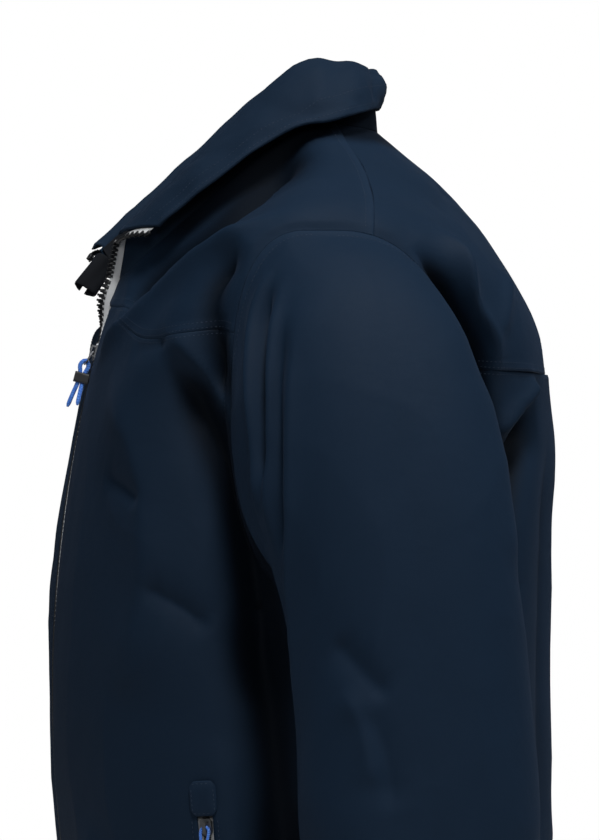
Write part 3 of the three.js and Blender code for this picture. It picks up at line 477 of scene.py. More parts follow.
def node(tree, kind, links=(), values=(), **settings):
    """A shader node with its settings, its input values and what feeds its inputs."""
    made = tree.nodes.new("ShaderNode" + kind)
    for key, value in settings.items():
        setattr(made, key, value)
    for key, value in dict(values).items():
        made.inputs[key].default_value = value
    for key, source in dict(links).items():
        tree.links.new(source, made.inputs[key])
    return made


def colour_mix(tree, share, a, b):
    """A colour between two: each is a colour or an output of a node."""
    made = node(tree, "Mix", data_type="RGBA")
    for socket, value in ((made.inputs[0], share), (made.inputs[6], a), (made.inputs[7], b)):
        if isinstance(value, (tuple, float, int)):
            socket.default_value = value
        else:
            tree.links.new(value, socket)
    return made.outputs[2]


def scaled(tree, value, factor, offset=0.0):
    made = node(tree, "Math", {0: value}, {1: factor, 2: offset}, operation="MULTIPLY_ADD")
    return made.outputs[0]


def rgb(red, green, blue):
    """A colour from its 0 to 255 screen values."""
    linear = [((v / 255 + 0.055) / 1.055) ** 2.4 if v > 10 else v / 255 / 12.92 for v in (red, green, blue)]
    return (*linear, 1.0)


def thread_waves(tree, coordinates, pitch):
    """Two sets of threads, over and under each other, as a height from 0 to 1."""
    wave_scale = math.pi / 10 / (pitch * MM)
    bands = [
        node(
            tree, "TexWave", {"Vector": coordinates}, {"Scale": wave_scale, "Distortion": 0.0},
            wave_type="BANDS", bands_direction=direction,
        ).outputs["Fac"]
        for direction in ("X", "Y")
    ]
    over = node(tree, "TexChecker", {"Vector": coordinates}, {"Scale": 1 / (pitch * MM)}).outputs["Fac"]
    return node(tree, "Mix", {0: over, 2: bands[0], 3: bands[1]}, data_type="FLOAT").outputs[0]


def cloth_material(name, colour, pitch=0.45, roughness=0.6, sheen=0.03, sheen_tint=(0.45, 0.62, 1, 1),
                   relief=0.5, blotch=0.12, crumple=0.4, gloss=0.07):
    """Woven cloth on the piece's own cloth map: weave, small creases, uneven dye, worn seams, and painted
    shade where the mesh marks it, as in the bottoms of folds.
    """
    material, tree, shader = material_tree(name)
    cloth_map = node(tree, "UVMap", uv_map="cloth").outputs[0]
    weave = thread_waves(tree, cloth_map, pitch)
    broad = node(tree, "TexNoise", {"Vector": cloth_map}, {"Scale": 14.0, "Detail": 4.0}).outputs["Fac"]
    fine = node(tree, "TexNoise", {"Vector": cloth_map}, {"Scale": 420.0, "Detail": 3.0}).outputs["Fac"]
    creases = node(
        tree, "TexNoise", {"Vector": cloth_map}, {"Scale": 75.0, "Detail": 5.0, "Roughness": 0.55}
    ).outputs["Fac"]
    dark = tuple(c * (1 - blotch) for c in colour[:3]) + (1.0,)
    light = tuple(min(1, c * (1 + blotch)) for c in colour[:3]) + (1.0,)
    dyed = colour_mix(tree, broad, dark, light)
    thready = colour_mix(tree, scaled(tree, weave, 0.22), dyed, dark)
    speckled = colour_mix(tree, scaled(tree, fine, 0.25), thready, light)
    seam = node(tree, "Attribute", attribute_name="seam").outputs["Fac"]
    worn = tuple(min(1, c * 1.35 + 0.004) for c in colour[:3]) + (1.0,)
    rubbed = colour_mix(tree, scaled(tree, seam, 0.3), speckled, worn)
    # Painted shade: the colour is drawn towards near black where the mesh marks the cloth as lying in shade.
    painted_shade = node(tree, "Attribute", attribute_name="painted_shade").outputs["Fac"]
    unlit = tuple(c * 0.06 for c in colour[:3]) + (1.0,)
    tree.links.new(colour_mix(tree, scaled(tree, painted_shade, 0.8), rubbed, unlit), shader.inputs["Base Color"])
    tree.links.new(scaled(tree, fine, 0.16, roughness - 0.08), shader.inputs["Roughness"])
    coarse_bump = node(
        tree, "Bump", {"Height": creases}, {"Strength": crumple, "Distance": 0.8 * MM}
    )
    bump = node(
        tree, "Bump", {"Height": weave, "Normal": coarse_bump.outputs[0]},
        {"Strength": relief, "Distance": 0.06 * MM},
    )
    tree.links.new(bump.outputs[0], shader.inputs["Normal"])
    shader.inputs["Sheen Weight"].default_value = sheen
    shader.inputs["Sheen Roughness"].default_value = 0.45
    shader.inputs["Sheen Tint"].default_value = sheen_tint
    shader.inputs["Specular IOR Level"].default_value = gloss
    return material


def moulded_material(name, colour, roughness=0.42, metal=0.0, grain=900.0, relief=0.25):
    """Moulded plastic or cast metal: a fine grain, uneven gloss and slightly rubbed patches."""
    material, tree, shader = material_tree(name)
    place = node(tree, "TexCoord").outputs["Object"]
    fine = node(tree, "TexNoise", {"Vector": place}, {"Scale": grain, "Detail": 4.0}).outputs["Fac"]
    broad = node(tree, "TexNoise", {"Vector": place}, {"Scale": grain / 12, "Detail": 3.0}).outputs["Fac"]
    rubbed = tuple(min(1, c * 1.5 + 0.01) for c in colour[:3]) + (1.0,)
    patches = colour_mix(tree, scaled(tree, broad, 0.6, -0.1), colour, rubbed)
    tree.links.new(patches, shader.inputs["Base Color"])
    tree.links.new(scaled(tree, fine, 0.3, roughness - 0.15), shader.inputs["Roughness"])
    bump = node(tree, "Bump", {"Height": fine}, {"Strength": relief, "Distance": 0.05 * MM})
    tree.links.new(bump.outputs[0], shader.inputs["Normal"])
    shader.inputs["Metallic"].default_value = metal
    return material


def braid_material(name, colour, other, pitch=1.1):
    """Braided cord: strands that cross at a slant round the cord."""
    material, tree, shader = material_tree(name)
    place = node(tree, "TexCoord").outputs["Object"]
    strands = []
    for slant in (1, -1):
        turned = node(tree, "Mapping", {"Vector": place}, {"Rotation": (0.9 * slant, 0.6, 0.8 * slant)})
        strands.append(
            node(
                tree, "TexWave", {"Vector": turned.outputs[0]},
                {"Scale": math.pi / 10 / (pitch * MM), "Distortion": 0.4},
            ).outputs["Fac"]
        )
    weave = node(tree, "Math", {0: strands[0], 1: strands[1]}, operation="MULTIPLY").outputs[0]
    tree.links.new(colour_mix(tree, weave, other, colour), shader.inputs["Base Color"])
    bump = node(tree, "Bump", {"Height": weave}, {"Strength": 0.7, "Distance": 0.2 * MM})
    tree.links.new(bump.outputs[0], shader.inputs["Normal"])
    shader.inputs["Roughness"].default_value = 0.7
    shader.inputs["Sheen Weight"].default_value = 0.3
    return material


SHELL = cloth_material("shell_navy", rgb(21, 36, 53))
YOKE = cloth_material("yoke_navy", rgb(21, 37, 55))
COLLAR = cloth_material("collar_navy", rgb(22, 37, 54), roughness=0.66)
CHARCOAL = cloth_material("charcoal_knit", rgb(26, 28, 32), pitch=0.8, roughness=0.9, relief=0.9)
LINING = cloth_material("lining_taffeta", rgb(40, 46, 58), pitch=0.3, roughness=0.5)
WHITE_TAPE = cloth_material("white_tape", rgb(226, 228, 230), pitch=0.6, relief=0.9, blotch=0.04, crumple=0.1)
LABEL = cloth_material(
    "label_satin", rgb(236, 236, 232), pitch=0.25, roughness=0.45, blotch=0.03, crumple=0.3
)
HOOK = cloth_material("hook_tape", rgb(34, 37, 42), pitch=1.1, roughness=0.95, relief=1.0)
THREAD = moulded_material("thread_navy", rgb(34, 48, 68), roughness=0.6, grain=4000.0)
TEETH = moulded_material("zip_plastic", rgb(20, 22, 26), roughness=0.36)
BLACK_PLASTIC = moulded_material("black_plastic", rgb(26, 28, 31), roughness=0.5, grain=1500.0, relief=0.5)
STEEL = moulded_material("slider_metal", rgb(128, 130, 134), roughness=0.32, metal=1.0, grain=600.0)
BLUE_CORD = braid_material("blue_braid", rgb(96, 165, 252), rgb(44, 100, 196))
DARK_CORD = braid_material("dark_braid", rgb(44, 50, 60), rgb(20, 23, 28))

# ---------------------------------------------------------------- mesh builders


def make_mesh(name, vertices, faces, material, cloth_map=None, marks=None):
    """A mesh piece from points in millimetres, with its faces turned outwards."""
    vertices = np.asarray(vertices, float).reshape(-1, 3) * MM
    faces = np.asarray(faces, int)
    fan = [(0, k, k + 1) for k in range(1, faces.shape[1] - 1)]
    corners = [vertices[faces[:, list(three)]] for three in fan]
    volume = sum(np.einsum("ij,ij->", c[:, 0], np.cross(c[:, 1], c[:, 2])) for c in corners)
    if volume < 0:
        faces = faces[:, ::-1]
        cloth_map = None if cloth_map is None else cloth_map[:, ::-1]
    mesh = bpy.data.meshes.new(name)
    mesh.from_pydata(vertices.tolist(), [], faces.tolist())
    mesh.polygons.foreach_set("use_smooth", np.ones(len(faces), bool))
    if cloth_map is not None:
        layer = mesh.uv_layers.new(name="cloth")
        layer.data.foreach_set("uv", (cloth_map * MM).reshape(-1))
    for mark, values in (marks or {}).items():
        mesh.attributes.new(mark, "FLOAT", "POINT").data.foreach_set("value", values.reshape(-1))
    mesh.materials.append(material)
    piece = bpy.data.objects.new(name, mesh)
    bpy.context.collection.objects.link(piece)
    return piece


def sheet_corners(rows, columns):
    """(row, column, side) of each face's four corners in a closed sheet: two faces, then the edges."""
    j, i = (grid.reshape(-1) for grid in np.mgrid[0:rows, 0:columns])
    zero, one = np.zeros(len(j), int), np.ones(len(j), int)

    def quads(*corners):
        return np.stack([np.stack(corner, -1) for corner in corners], 1)

    outer = quads((j, i, zero), (j, i + 1, zero), (j + 1, i + 1, zero), (j + 1, i, zero))
    inner = quads((j + 1, i, one), (j + 1, i + 1, one), (j, i + 1, one), (j, i, one))
    i = np.arange(columns)
    zero, one, last = np.zeros(columns, int), np.ones(columns, int), np.full(columns, rows)
    foot = quads((zero, i, one), (zero, i + 1, one), (zero, i + 1, zero), (zero, i, zero))
    head = quads((last, i, zero), (last, i + 1, zero), (last, i + 1, one), (last, i, one))
    j = np.arange(rows)
    zero, one, last = np.zeros(rows, int), np.ones(rows, int), np.full(rows, columns)
    near = quads((j, zero, zero), (j + 1, zero, zero), (j + 1, zero, one), (j, zero, one))
    far = quads((j, last, one), (j + 1, last, one), (j + 1, last, zero), (j, last, zero))
    return np.concatenate([outer, inner, foot, head]), np.concatenate([near, far])


# Painted shade: a fold's colour darkens from this depth on, and is fully dark this much deeper.
PAINTED_SHADE_START, PAINTED_SHADE_REACH = 3.5, 12.0


class Sheet:
    """A grid of points on a skin, with its normals and the distances to its four edges."""

    def __init__(self, skin, a, b, turn=1, wraps=False, mirror=False):
        self.base = skin(a, b)
        self.normals = normal_of(skin, a, b, turn)
        if mirror:
            flip = np.array([-1.0, 1.0, 1.0])
            self.base, self.normals = self.base * flip, self.normals * flip
        self.wraps = wraps
        self.measure(self.base)
        self.points = self.base

    @classmethod
    def drawn(cls, points, normals):
        """A sheet from a grid of points instead of a skin."""
        made = cls.__new__(cls)
        made.base = made.points = points
        made.normals = normals
        made.wraps = False
        made.measure(points)
        return made

    def measure(self, points):
        across = np.linalg.norm(np.diff(points, axis=1), axis=2)
        up = np.linalg.norm(np.diff(points, axis=0), axis=2)
        self.across = np.pad(np.cumsum(across, 1), ((0, 0), (1, 0)))
        self.up = np.pad(np.cumsum(up, 0), ((1, 0), (0, 0)))
        self.painted_shade = np.zeros(points.shape[:2])
        self.painted_shade_depth = None

    def gaps(self):
        """Distance to the left, right, bottom and top edges."""
        return {
            "left": self.across,
            "right": self.across[:, -1:] - self.across,
            "bottom": self.up,
            "top": self.up[-1:, :] - self.up,
        }

    def raise_by(self, height, depth=0.0):
        """Moves the cloth out by its folds, this deep below the skin, and marks painted shade in the bottoms
        of the folds.
        """
        self.points = self.base + self.normals * (height - depth)[..., None]
        depth_of_fold = -height if self.painted_shade_depth is None else self.painted_shade_depth
        self.painted_shade = smooth((depth_of_fold - PAINTED_SHADE_START) / PAINTED_SHADE_REACH)
        return self

    def area(self):
        a = self.base[1:, :-1] - self.base[:-1, :-1]
        b = self.base[:-1, 1:] - self.base[:-1, :-1]
        return np.linalg.norm(np.cross(a, b), axis=2).sum()

    def seam_shade(self, edges, reach=5.0):
        gaps = self.gaps()
        shade = np.zeros(self.base.shape[:2])
        for edge in edges:
            shade = np.maximum(shade, np.exp(-((gaps[edge] - 1.5) / reach) ** 2))
        return shade

    def mesh(self, name, material, thickness, seam=None, round_edges=()):
        """Closes the sheet with an inner face that far below. Round edges close with a soft lip."""
        rows, columns = (n - 1 for n in self.base.shape[:2])
        lip = np.zeros(self.base.shape[:2])
        for edge in round_edges:
            reach = thickness / 2
            beyond = np.clip(1 - self.gaps()[edge] / reach, 0, 1)
            lip = np.maximum(lip, reach * (1 - np.sqrt(1 - beyond**2)))
        outer = self.points - self.normals * lip[..., None] * 0.96
        inner = self.points - self.normals * (thickness - lip[..., None] * 0.96)
        whole = columns if self.wraps else columns + 1
        corners, ends = sheet_corners(rows, columns)
        if not self.wraps:
            corners = np.concatenate([corners, ends])
        row, column, side = corners[..., 0], corners[..., 1], corners[..., 2]
        faces = side * whole * (rows + 1) + row * whole + column % whole
        cloth_map = np.stack([self.across, self.up], -1)[row, column]
        vertices = np.concatenate([outer[:, :whole], inner[:, :whole]])
        shade = np.zeros(self.painted_shade.shape) if seam is None else seam
        marks = {"seam": shade, "painted_shade": self.painted_shade}
        marks = {mark: np.tile(grid[:, :whole], (2, 1)) for mark, grid in marks.items()}
        return make_mesh(name, vertices, faces, material, cloth_map, marks)

    def line(self, edge, gap, trim=3.0):
        """Points and normals of the line that runs this far inside an edge."""
        sideways = edge in ("left", "right")
        lengths = self.across if sideways else self.up.T
        points = self.points if sideways else self.points.transpose(1, 0, 2)
        normals = self.normals if sideways else self.normals.transpose(1, 0, 2)
        places = np.full(len(lengths), gap) if edge in ("left", "bottom") else lengths[:, -1] - gap
        run = np.stack([
            [np.interp(places[k], lengths[k], grid[k, :, axis]) for axis in range(3)]
            for grid in (points, normals) for k in range(len(lengths))
        ])
        points, normals = run[: len(lengths)], run[len(lengths):]
        along = np.concatenate([[0], np.cumsum(np.linalg.norm(np.diff(points, axis=0), axis=1))])
        kept = (along > trim) & (along < along[-1] - trim)
        return points[kept], normals[kept]


def spaced(length, step, edge=(0.7, 1.6, 2.8, 4.5, 6.6, 7.6, 8.6, 10.0)):
    """Shares from 0 to 1 along a length, closer together beside both ends."""
    inner = np.linspace(edge[-1], length - edge[-1], max(2, round((length - 2 * edge[-1]) / step)))
    places = np.concatenate([[0], edge[:-1], inner, length - np.array(edge[-2::-1]), [length]])
    return places / length


STITCH_LENGTH, STITCH_PITCH, STITCH_RADIUS = 2.4, 3.3, 0.22
STITCH_SIDES = 6


def stitches(name, lines, material=None):
    """Rows of sewn thread: one short spindle per stitch, lying on the cloth."""
    vertices, faces = [], []
    for points, normals in lines:
        along = np.concatenate([[0], np.cumsum(np.linalg.norm(np.diff(points, axis=0), axis=1))])
        middles = np.arange(STITCH_PITCH, along[-1], STITCH_PITCH)

        def at(places, grid):
            return np.stack([np.interp(places, along, grid[:, k]) for k in range(3)], -1)

        centre, up = at(middles, points), unit(at(middles, normals))
        run = unit(at(middles + 0.5, points) - at(middles - 0.5, points))
        side = unit(np.cross(run, up))
        for k in range(len(middles)):
            first = len(vertices)
            vertices.append(centre[k] - run[k] * STITCH_LENGTH / 2 - up[k] * 0.1)
            vertices.append(centre[k] + run[k] * STITCH_LENGTH / 2 - up[k] * 0.1)
            for turn in np.arange(STITCH_SIDES) * 2 * math.pi / STITCH_SIDES:
                ring = side[k] * math.cos(turn) + up[k] * (math.sin(turn) + 0.45)
                vertices.append(centre[k] + STITCH_RADIUS * ring)
            for s in range(STITCH_SIDES):
                a, b = first + 2 + s, first + 2 + (s + 1) % STITCH_SIDES
                faces += [(first, a, b), (first + 1, b, a)]
    return make_mesh(name, vertices, faces, material or THREAD)


# ---------------------------------------------------------------- folds

# A fold is a path over the cloth, how wide it is, and how far it stands out of the cloth or sinks in.
BODY_FOLDS = [
    ([(192, -84, -74), (178, -113, -92), (157, -135, -107), (131, -158, -126), (108, -176, -146),
      (58, -198, -174)], 11, 12),
    ([(92, -58, -26), (126, -88, -52), (146, -112, -80), (150, -132, -100)], 15, 6),
    ([(78, -46, -12), (94, -76, -42), (110, -108, -70), (108, -136, -92), (88, -162, -114), (44, -186, -134)],
     29, -26),
    ([(186, -106, -90), (184, -124, -114), (184, -130, -142), (186, -124, -177), (187, -116, -212)], 12, -13),
    ([(122, -178, -172), (147, -168, -166), (164, -160, -164)], 7, -4),
    ([(163, -158, -154), (181, -138, -184), (186, -118, -219)], 6, 5),
    ([(156, -166, -168), (174, -146, -205), (181, -127, -240), (187, -111, -289), (190, -100, -345),
      (190, -98, -430)], 19, -17),
    ([(190, -100, -330), (192, -88, -430), (192, -80, -560), (190, -78, -720)], 20, -14),
    ([(100, -192, -183), (140, -179, -233), (152, -171, -290), (152, -171, -346), (140, -178, -430)], 27, 8),
    ([(110, -198, -260), (134, -187, -267), (153, -172, -279)], 9, -3.5),
    ([(152, -174, -336), (169, -154, -349), (184, -130, -368)], 10, -4),
    ([(136, -184, -520), (146, -172, -590), (152, -166, -650)], 12, -4),
    ([(196, -60, -480), (188, -96, -560), (170, -140, -660)], 22, -6),
    ([(166, 26, -84), (176, 42, -100), (184, 56, -133), (174, 74, -163), (168, 79, -205), (165, 82, -240)],
     8, 11),
    ([(192, 6, -96), (192, 32, -126), (186, 53, -153), (175, 71, -189), (169, 78, -233), (169, 80, -300)],
     13, -24),
    ([(166, 80, -236), (150, 98, -212), (126, 116, -190)], 8, 8),
    ([(122, 118, -197), (148, 101, -241), (163, 87, -290), (168, 82, -370)], 13, -15),
    ([(130, 92, -106), (154, 82, -136), (168, 76, -160)], 5, 4),
]
BACK_FOLDS = [
    ([(110, -206, -500), (96, -212, -600), (84, -208, -720)], 24, 5),
    ([(100, 131, -220), (112, 129, -300), (120, 124, -420), (118, 124, -560)], 20, -6),
    ([(40, 145, -230), (48, 147, -380), (44, 147, -560)], 24, -7),
    ([(-20, 140, -215), (-35, 147, -330), (-30, 147, -500)], 18, -6),
    ([(70, 145, -520), (85, 142, -640), (80, 140, -760)], 24, -6),
    ([(-96, 130, -200), (-110, 128, -300), (-118, 124, -420)], 20, 5),
    ([(-190, 30, -420), (-170, 80, -480), (-130, 122, -580)], 18, 6),
    ([(40, 60, -45), (90, 50, -60), (140, 30, -75)], 13, -3),
    ([(-60, -222, -300), (-90, -214, -420), (-80, -216, -560)], 22, 5),
]
SLEEVE_FOLDS = [
    ([(214, -82, -104), (216, -97, -128), (220, -105, -152), (230, -109, -178), (239, -108, -212),
      (243, -104, -253), (240, -96, -304)], 6, 5),
    ([(220, -90, -119), (227, -99, -146), (239, -104, -181), (247, -103, -219), (250, -99, -270)], 6.5, -9),
    ([(226, -83, -119), (236, -92, -142), (246, -97, -175), (253, -98, -215), (255, -98, -260),
      (249, -93, -316)], 6, 5),
    ([(240, -84, -142), (254, -91, -195), (261, -92, -240), (259, -88, -320)], 7, -7),
    ([(250, -80, -150), (263, -84, -200), (270, -85, -274), (263, -83, -350), (257, -77, -455)], 7, 4),
    ([(288, -60, -366), (298, -40, -388), (305, -20, -410)], 10, -3.5),
    ([(297, -40, -410), (304, -26, -440), (307, -18, -486)], 10, -3),
    ([(292, -54, -400), (300, -40, -425), (304, -30, -470)], 9, 2.5),
    ([(250, -82, -520), (286, -66, -540), (306, -28, -560)], 13, -5),
    ([(262, 84, -520), (290, 74, -545), (308, 36, -570)], 13, -5),
    ([(240, -62, -620), (282, -54, -640), (304, -10, -650)], 11, -5),
    ([(250, 88, -610), (290, 72, -630), (305, 30, -645)], 11, 4),
    ([(240, 60, -180), (262, 70, -240), (278, 76, -330)], 13, 5),
    ([(214, -60, -380), (212, -40, -460), (214, -30, -560)], 15, -5),
    ([(222, 74, -300), (226, 84, -380), (232, 88, -460)], 12, -6),
]
COLLAR_FOLDS = [
    ([(52, -37, 48), (76, -40, 26), (92, -44, 0)], 6, 3.2),
    ([(40, -14, 50), (66, -16, 30), (82, -18, 10)], 7, 3.4),
    ([(56, -26, 46), (72, -28, 28), (90, -30, 6)], 7, -2.4),
    ([(14, 12, 42), (36, 16, 30), (48, 14, 14)], 7, 3),
    ([(28, 2, 44), (52, 2, 30), (66, 0, 14)], 6, -2.6),
    ([(60, -120, -28), (78, -126, -54), (88, -134, -74)], 9, 2.6),
    ([(52, -150, -60), (66, -156, -80), (76, -164, -98)], 7, -2.4),
]
CREST = 1.25                  # 2 is a soft swell, 1 a sharp crest
FOLD_DEPTH = 1.4


def fold_height(points, folds, mirror=1.0):
    """How far the folds raise each point."""
    height = np.zeros(len(points))
    for path, width, rise in folds:
        path = smooth_path(np.array(path, float) * [mirror, 1, 1], 28)
        gap, share = distance_to(points, path)
        taper = smooth(share / 0.22) * smooth((1 - share) / 0.22)
        height += FOLD_DEPTH * rise * (0.1 + 0.9 * taper) * np.exp(-((gap / width) ** CREST))
    return height


def rumple(points, size, stretch=(1.0, 1.0, 1.0), seed=0.0):
    """Smooth noise over the points, about -1 to 1."""
    places = points / (size * np.array(stretch)) + seed
    return np.array([noise.noise(Vector(place)) for place in places])


def creased(points, size, stretch, seed):
    """Noise with sharp crests, as where stiff cloth buckles."""
    return 1 - 2 * np.abs(rumple(points, size, stretch, seed)) ** 0.8


def slack(points, seed):
    """The cloth's own unevenness: soft swells, buckles and a fine crumple."""
    return (
        2.6 * rumple(points, 100, (1, 1, 1.8), seed)
        + 1.2 * creased(points, 70, (1, 1, 1.7), seed + 7)
        + 0.4 * rumple(points, 24, (1, 1, 1.3), seed + 3)
        + 0.07 * rumple(points, 8, (1, 1, 1), seed + 11)
    )


def pucker(sheet, edges, seed):
    """Small ripples square to a seam, where the thread has drawn the cloth up."""
    gaps = sheet.gaps()
    shape = sheet.base.shape[:2]
    ripple = rumple(sheet.base.reshape(-1, 3), 7.5, (1, 1, 1), seed).reshape(shape)
    reach = np.zeros(shape)
    for edge in edges:
        reach = np.maximum(reach, smooth(gaps[edge] / 3) * np.exp(-gaps[edge] / 9))
    return 0.55 * ripple * reach


SEAM_BAND, SEAM_RISE = 8.0, 0.22


def seam_relief(sheet, lapped=(), tucked=()):
    """A lapped edge stands proud over its seam allowance. A tucked edge just dips into the seam."""
    gaps = sheet.gaps()
    height = np.zeros(sheet.base.shape[:2])
    for edge in lapped:
        height += SEAM_RISE * (1 - smooth((gaps[edge] - SEAM_BAND + 1) / 2)) * smooth(gaps[edge] / 1.5)
    groove = np.zeros(height.shape)
    for edge in tuple(lapped) + tuple(tucked):
        groove = np.maximum(groove, 0.3 * np.exp(-((gaps[edge] / 1.1) ** 2)))
    return height - groove


armhole_path = body_skin(*armhole(np.linspace(0, 2 * math.pi, 61)))
neck_path = body_skin(np.linspace(0, 2 * math.pi, 61), float(NECK))
POCKET_ANGLE, POCKET_TOP_Z, POCKET_BOTTOM_Z = 64 * DEG, -490, -662
pocket_top = body_skin(POCKET_ANGLE, ring_at(POCKET_ANGLE, POCKET_TOP_Z))
pocket_bottom = body_skin(POCKET_ANGLE, ring_at(POCKET_ANGLE, POCKET_BOTTOM_Z))
pocket_length = float(np.linalg.norm(pocket_bottom - pocket_top))
pocket_down = unit(pocket_bottom - pocket_top)
pocket_path = np.array([mix(pocket_top, pocket_bottom, f) for f in np.linspace(-0.12, 1.05, 12)])
FLIP = np.array([-1.0, 1.0, 1.0])


ARMHOLE_CALM, NECK_CALM, ZIP_CALM = 8, 12, 26
POCKET_FLAT, POCKET_CALM = 9, 22
SEAM_STILL = 0.5              # cloth this near to a seam does not move at all


def calm(points):
    """0 where the cloth is held flat, by the neck, the zips or an armhole, and 1 where it hangs free."""
    near_left = points * [1, 1, 1]
    near_left[:, 0] = np.abs(near_left[:, 0])
    free = smooth((distance_to(near_left, armhole_path)[0] - SEAM_STILL) / ARMHOLE_CALM)
    free *= smooth((distance_to(points, neck_path)[0] - SEAM_STILL) / NECK_CALM)
    free *= smooth((distance_to(near_left, pocket_path)[0] - POCKET_FLAT) / POCKET_CALM)
    in_front = points[:, 1] < -100
    from_zip = near_left[:, 0] - PANEL_EDGE - edge_spread(points[:, 2])
    return free * np.where(in_front, smooth(from_zip / ZIP_CALM), 1)


BACK_SETTLE = 6.0             # the empty back sinks in by this much
RIGHT_SHARE = 0.8             # the right side's folds are this much as deep as the left's
COLLAR_SHADE = 40.0           # the cloth this near to the neck seam gets painted shade, for the dark under the collar


def body_relief(sheet, seed):
    points = sheet.base.reshape(-1, 3)
    height = fold_height(points, BODY_FOLDS + BACK_FOLDS)
    height += RIGHT_SHARE * fold_height(points, BODY_FOLDS, -1.0)
    # Painted shade under the collar, fading out towards the front, and in the bottoms of the folds.
    under_collar = PAINTED_SHADE_REACH * (1.6 - 1.6 * smooth(distance_to(points, neck_path)[0] / COLLAR_SHADE))
    under_collar *= smooth((points[:, 1] + 175) / 50)
    sheet.painted_shade_depth = np.maximum(-height, under_collar).reshape(sheet.base.shape[:2])
    height = (height + slack(points, seed)) * calm(points)
    height -= BACK_SETTLE * smooth((points[:, 1] - 80) / 60) * smooth((BACK_YOKE_Z + 60 - points[:, 2]) / 90)
    return height.reshape(sheet.base.shape[:2])


def held_by_zip(sheet, edge, width=9.0, drop=1.5):
    """The cloth bends down to the zip beside its centre line."""
    return -drop * (1 - smooth(sheet.gaps()[edge] / width))


# ---------------------------------------------------------------- shell panels

CLOTH, LINING_CLOTH, BAG_CLOTH = 1.2, 0.8, 1.6
LINING_DEPTH, SLEEVE_LINING_DEPTH, BAG_DEPTH, FACING_DEPTH = 11, 7, 8.6, 2.4
STEP = 3.0


def place(name, piece, slot, body="jacket", nodes=None):
    """Rides the piece and stands it for its CAD nodes. The slot is not used."""
    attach(piece, body)
    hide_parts(*(nodes or [name]))
    return piece


def declare(sheet):
    """Works out the cloth's cut, the sizes and the area of the piece before any fold, and does nothing more
    with them.
    """
    width = float(sheet.across[:, -1].max()) * MM
    length = float(sheet.up[-1].max()) * MM
    area = min(float(sheet.area()) * MM * MM, width * length)


def sew(name, sheet, rows, body="jacket"):
    """Topstitching: one row for each (edge, gap)."""
    piece = stitches(name, [sheet.line(edge, gap) for edge, gap in rows])
    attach(piece, body)
    return piece


def finish_cloth(name, piece, sheet, slot, rows=(), body="jacket"):
    """Stands the piece for its CAD node and sews its rows of stitches."""
    place(name, piece, slot, body)
    sewn = [sew(f"{name}_stitching", sheet, rows, body)] if rows else []
    declare(sheet)


def add_cloth(name, sheet, look, thickness, slot,
              worn=(), rounded=(), rows=(), body="jacket"):
    """Makes one CAD node's cloth: its worn edges are paler and its rounded ones close softly."""
    piece = sheet.mesh(f"{name}_cloth", look, thickness, sheet.seam_shade(worn), rounded)
    finish_cloth(name, piece, sheet, slot, rows, body)


def body_sheet(outline, width, length, mirror=False):
    a, b = outline(spaced(width, STEP), spaced(length, STEP))
    return Sheet(body_skin, a, b, mirror=mirror)


def cut_pocket(piece, side):
    """Cuts the pocket's slot, round at both ends, through the front panel."""
    out, across = pocket_axes()
    half, reach = 5.6, 10
    outline = []
    for end, centre in ((1, pocket_length + 1), (-1, -1)):
        for turn in np.linspace(0, math.pi, 9):
            outline.append((half * math.cos(turn) * end, centre + half * math.sin(turn) * end))
    vertices = [
        (pocket_top + across * x + pocket_down * y + out * z) * (FLIP if side < 0 else 1)
        for z in (-reach, reach) for x, y in outline
    ]
    count = len(outline)
    cutter_mesh = bpy.data.meshes.new("cutter")
    faces = [(k, (k + 1) % count, count + (k + 1) % count, count + k) for k in range(count)]
    faces += [tuple(range(count))[::-1], tuple(range(count, 2 * count))]
    cutter_mesh.from_pydata((np.array(vertices) * MM).tolist(), [], faces)
    edit = bmesh.new()
    edit.from_mesh(cutter_mesh)
    bmesh.ops.recalc_face_normals(edit, faces=edit.faces)
    edit.to_mesh(cutter_mesh)
    edit.free()
    cutter = bpy.data.objects.new("cutter", cutter_mesh)
    bpy.context.collection.objects.link(cutter)
    cut = piece.modifiers.new("cut", "BOOLEAN")
    cut.operation, cut.object, cut.solver = "DIFFERENCE", cutter, "EXACT"
    bpy.context.view_layer.update()
    made = bpy.data.meshes.new_from_object(piece.evaluated_get(bpy.context.evaluated_depsgraph_get()))
    piece.modifiers.clear()
    piece.data = made
    bpy.data.objects.remove(cutter)


def pocket_axes():
    top = float(ring_at(POCKET_ANGLE, POCKET_TOP_Z))
    out = normal_of(body_skin, np.array(POCKET_ANGLE), np.array(top))
    out = unit(out - pocket_down * out.dot(pocket_down))
    return out, np.cross(pocket_down, out)


# Where in the noise each panel's unevenness is taken from. A lining shares its panel's.
FRONT_SEED = {"left": 0.0, "right": 31.0}
SLEEVE_SEED = {"left": 40.0, "right": 57.0}
BACK_YOKE_SEED, BACK_SEED = 3.0, 12.0
STAND_SEED, FALL_SEED, FALL_CREASE_SEED = 70.0, 77.0, 80.0


HEM_ROWS = [("bottom", 8), ("bottom", 24)]
YOKE_ROWS = [("bottom", 2.2), ("bottom", 6.8)]


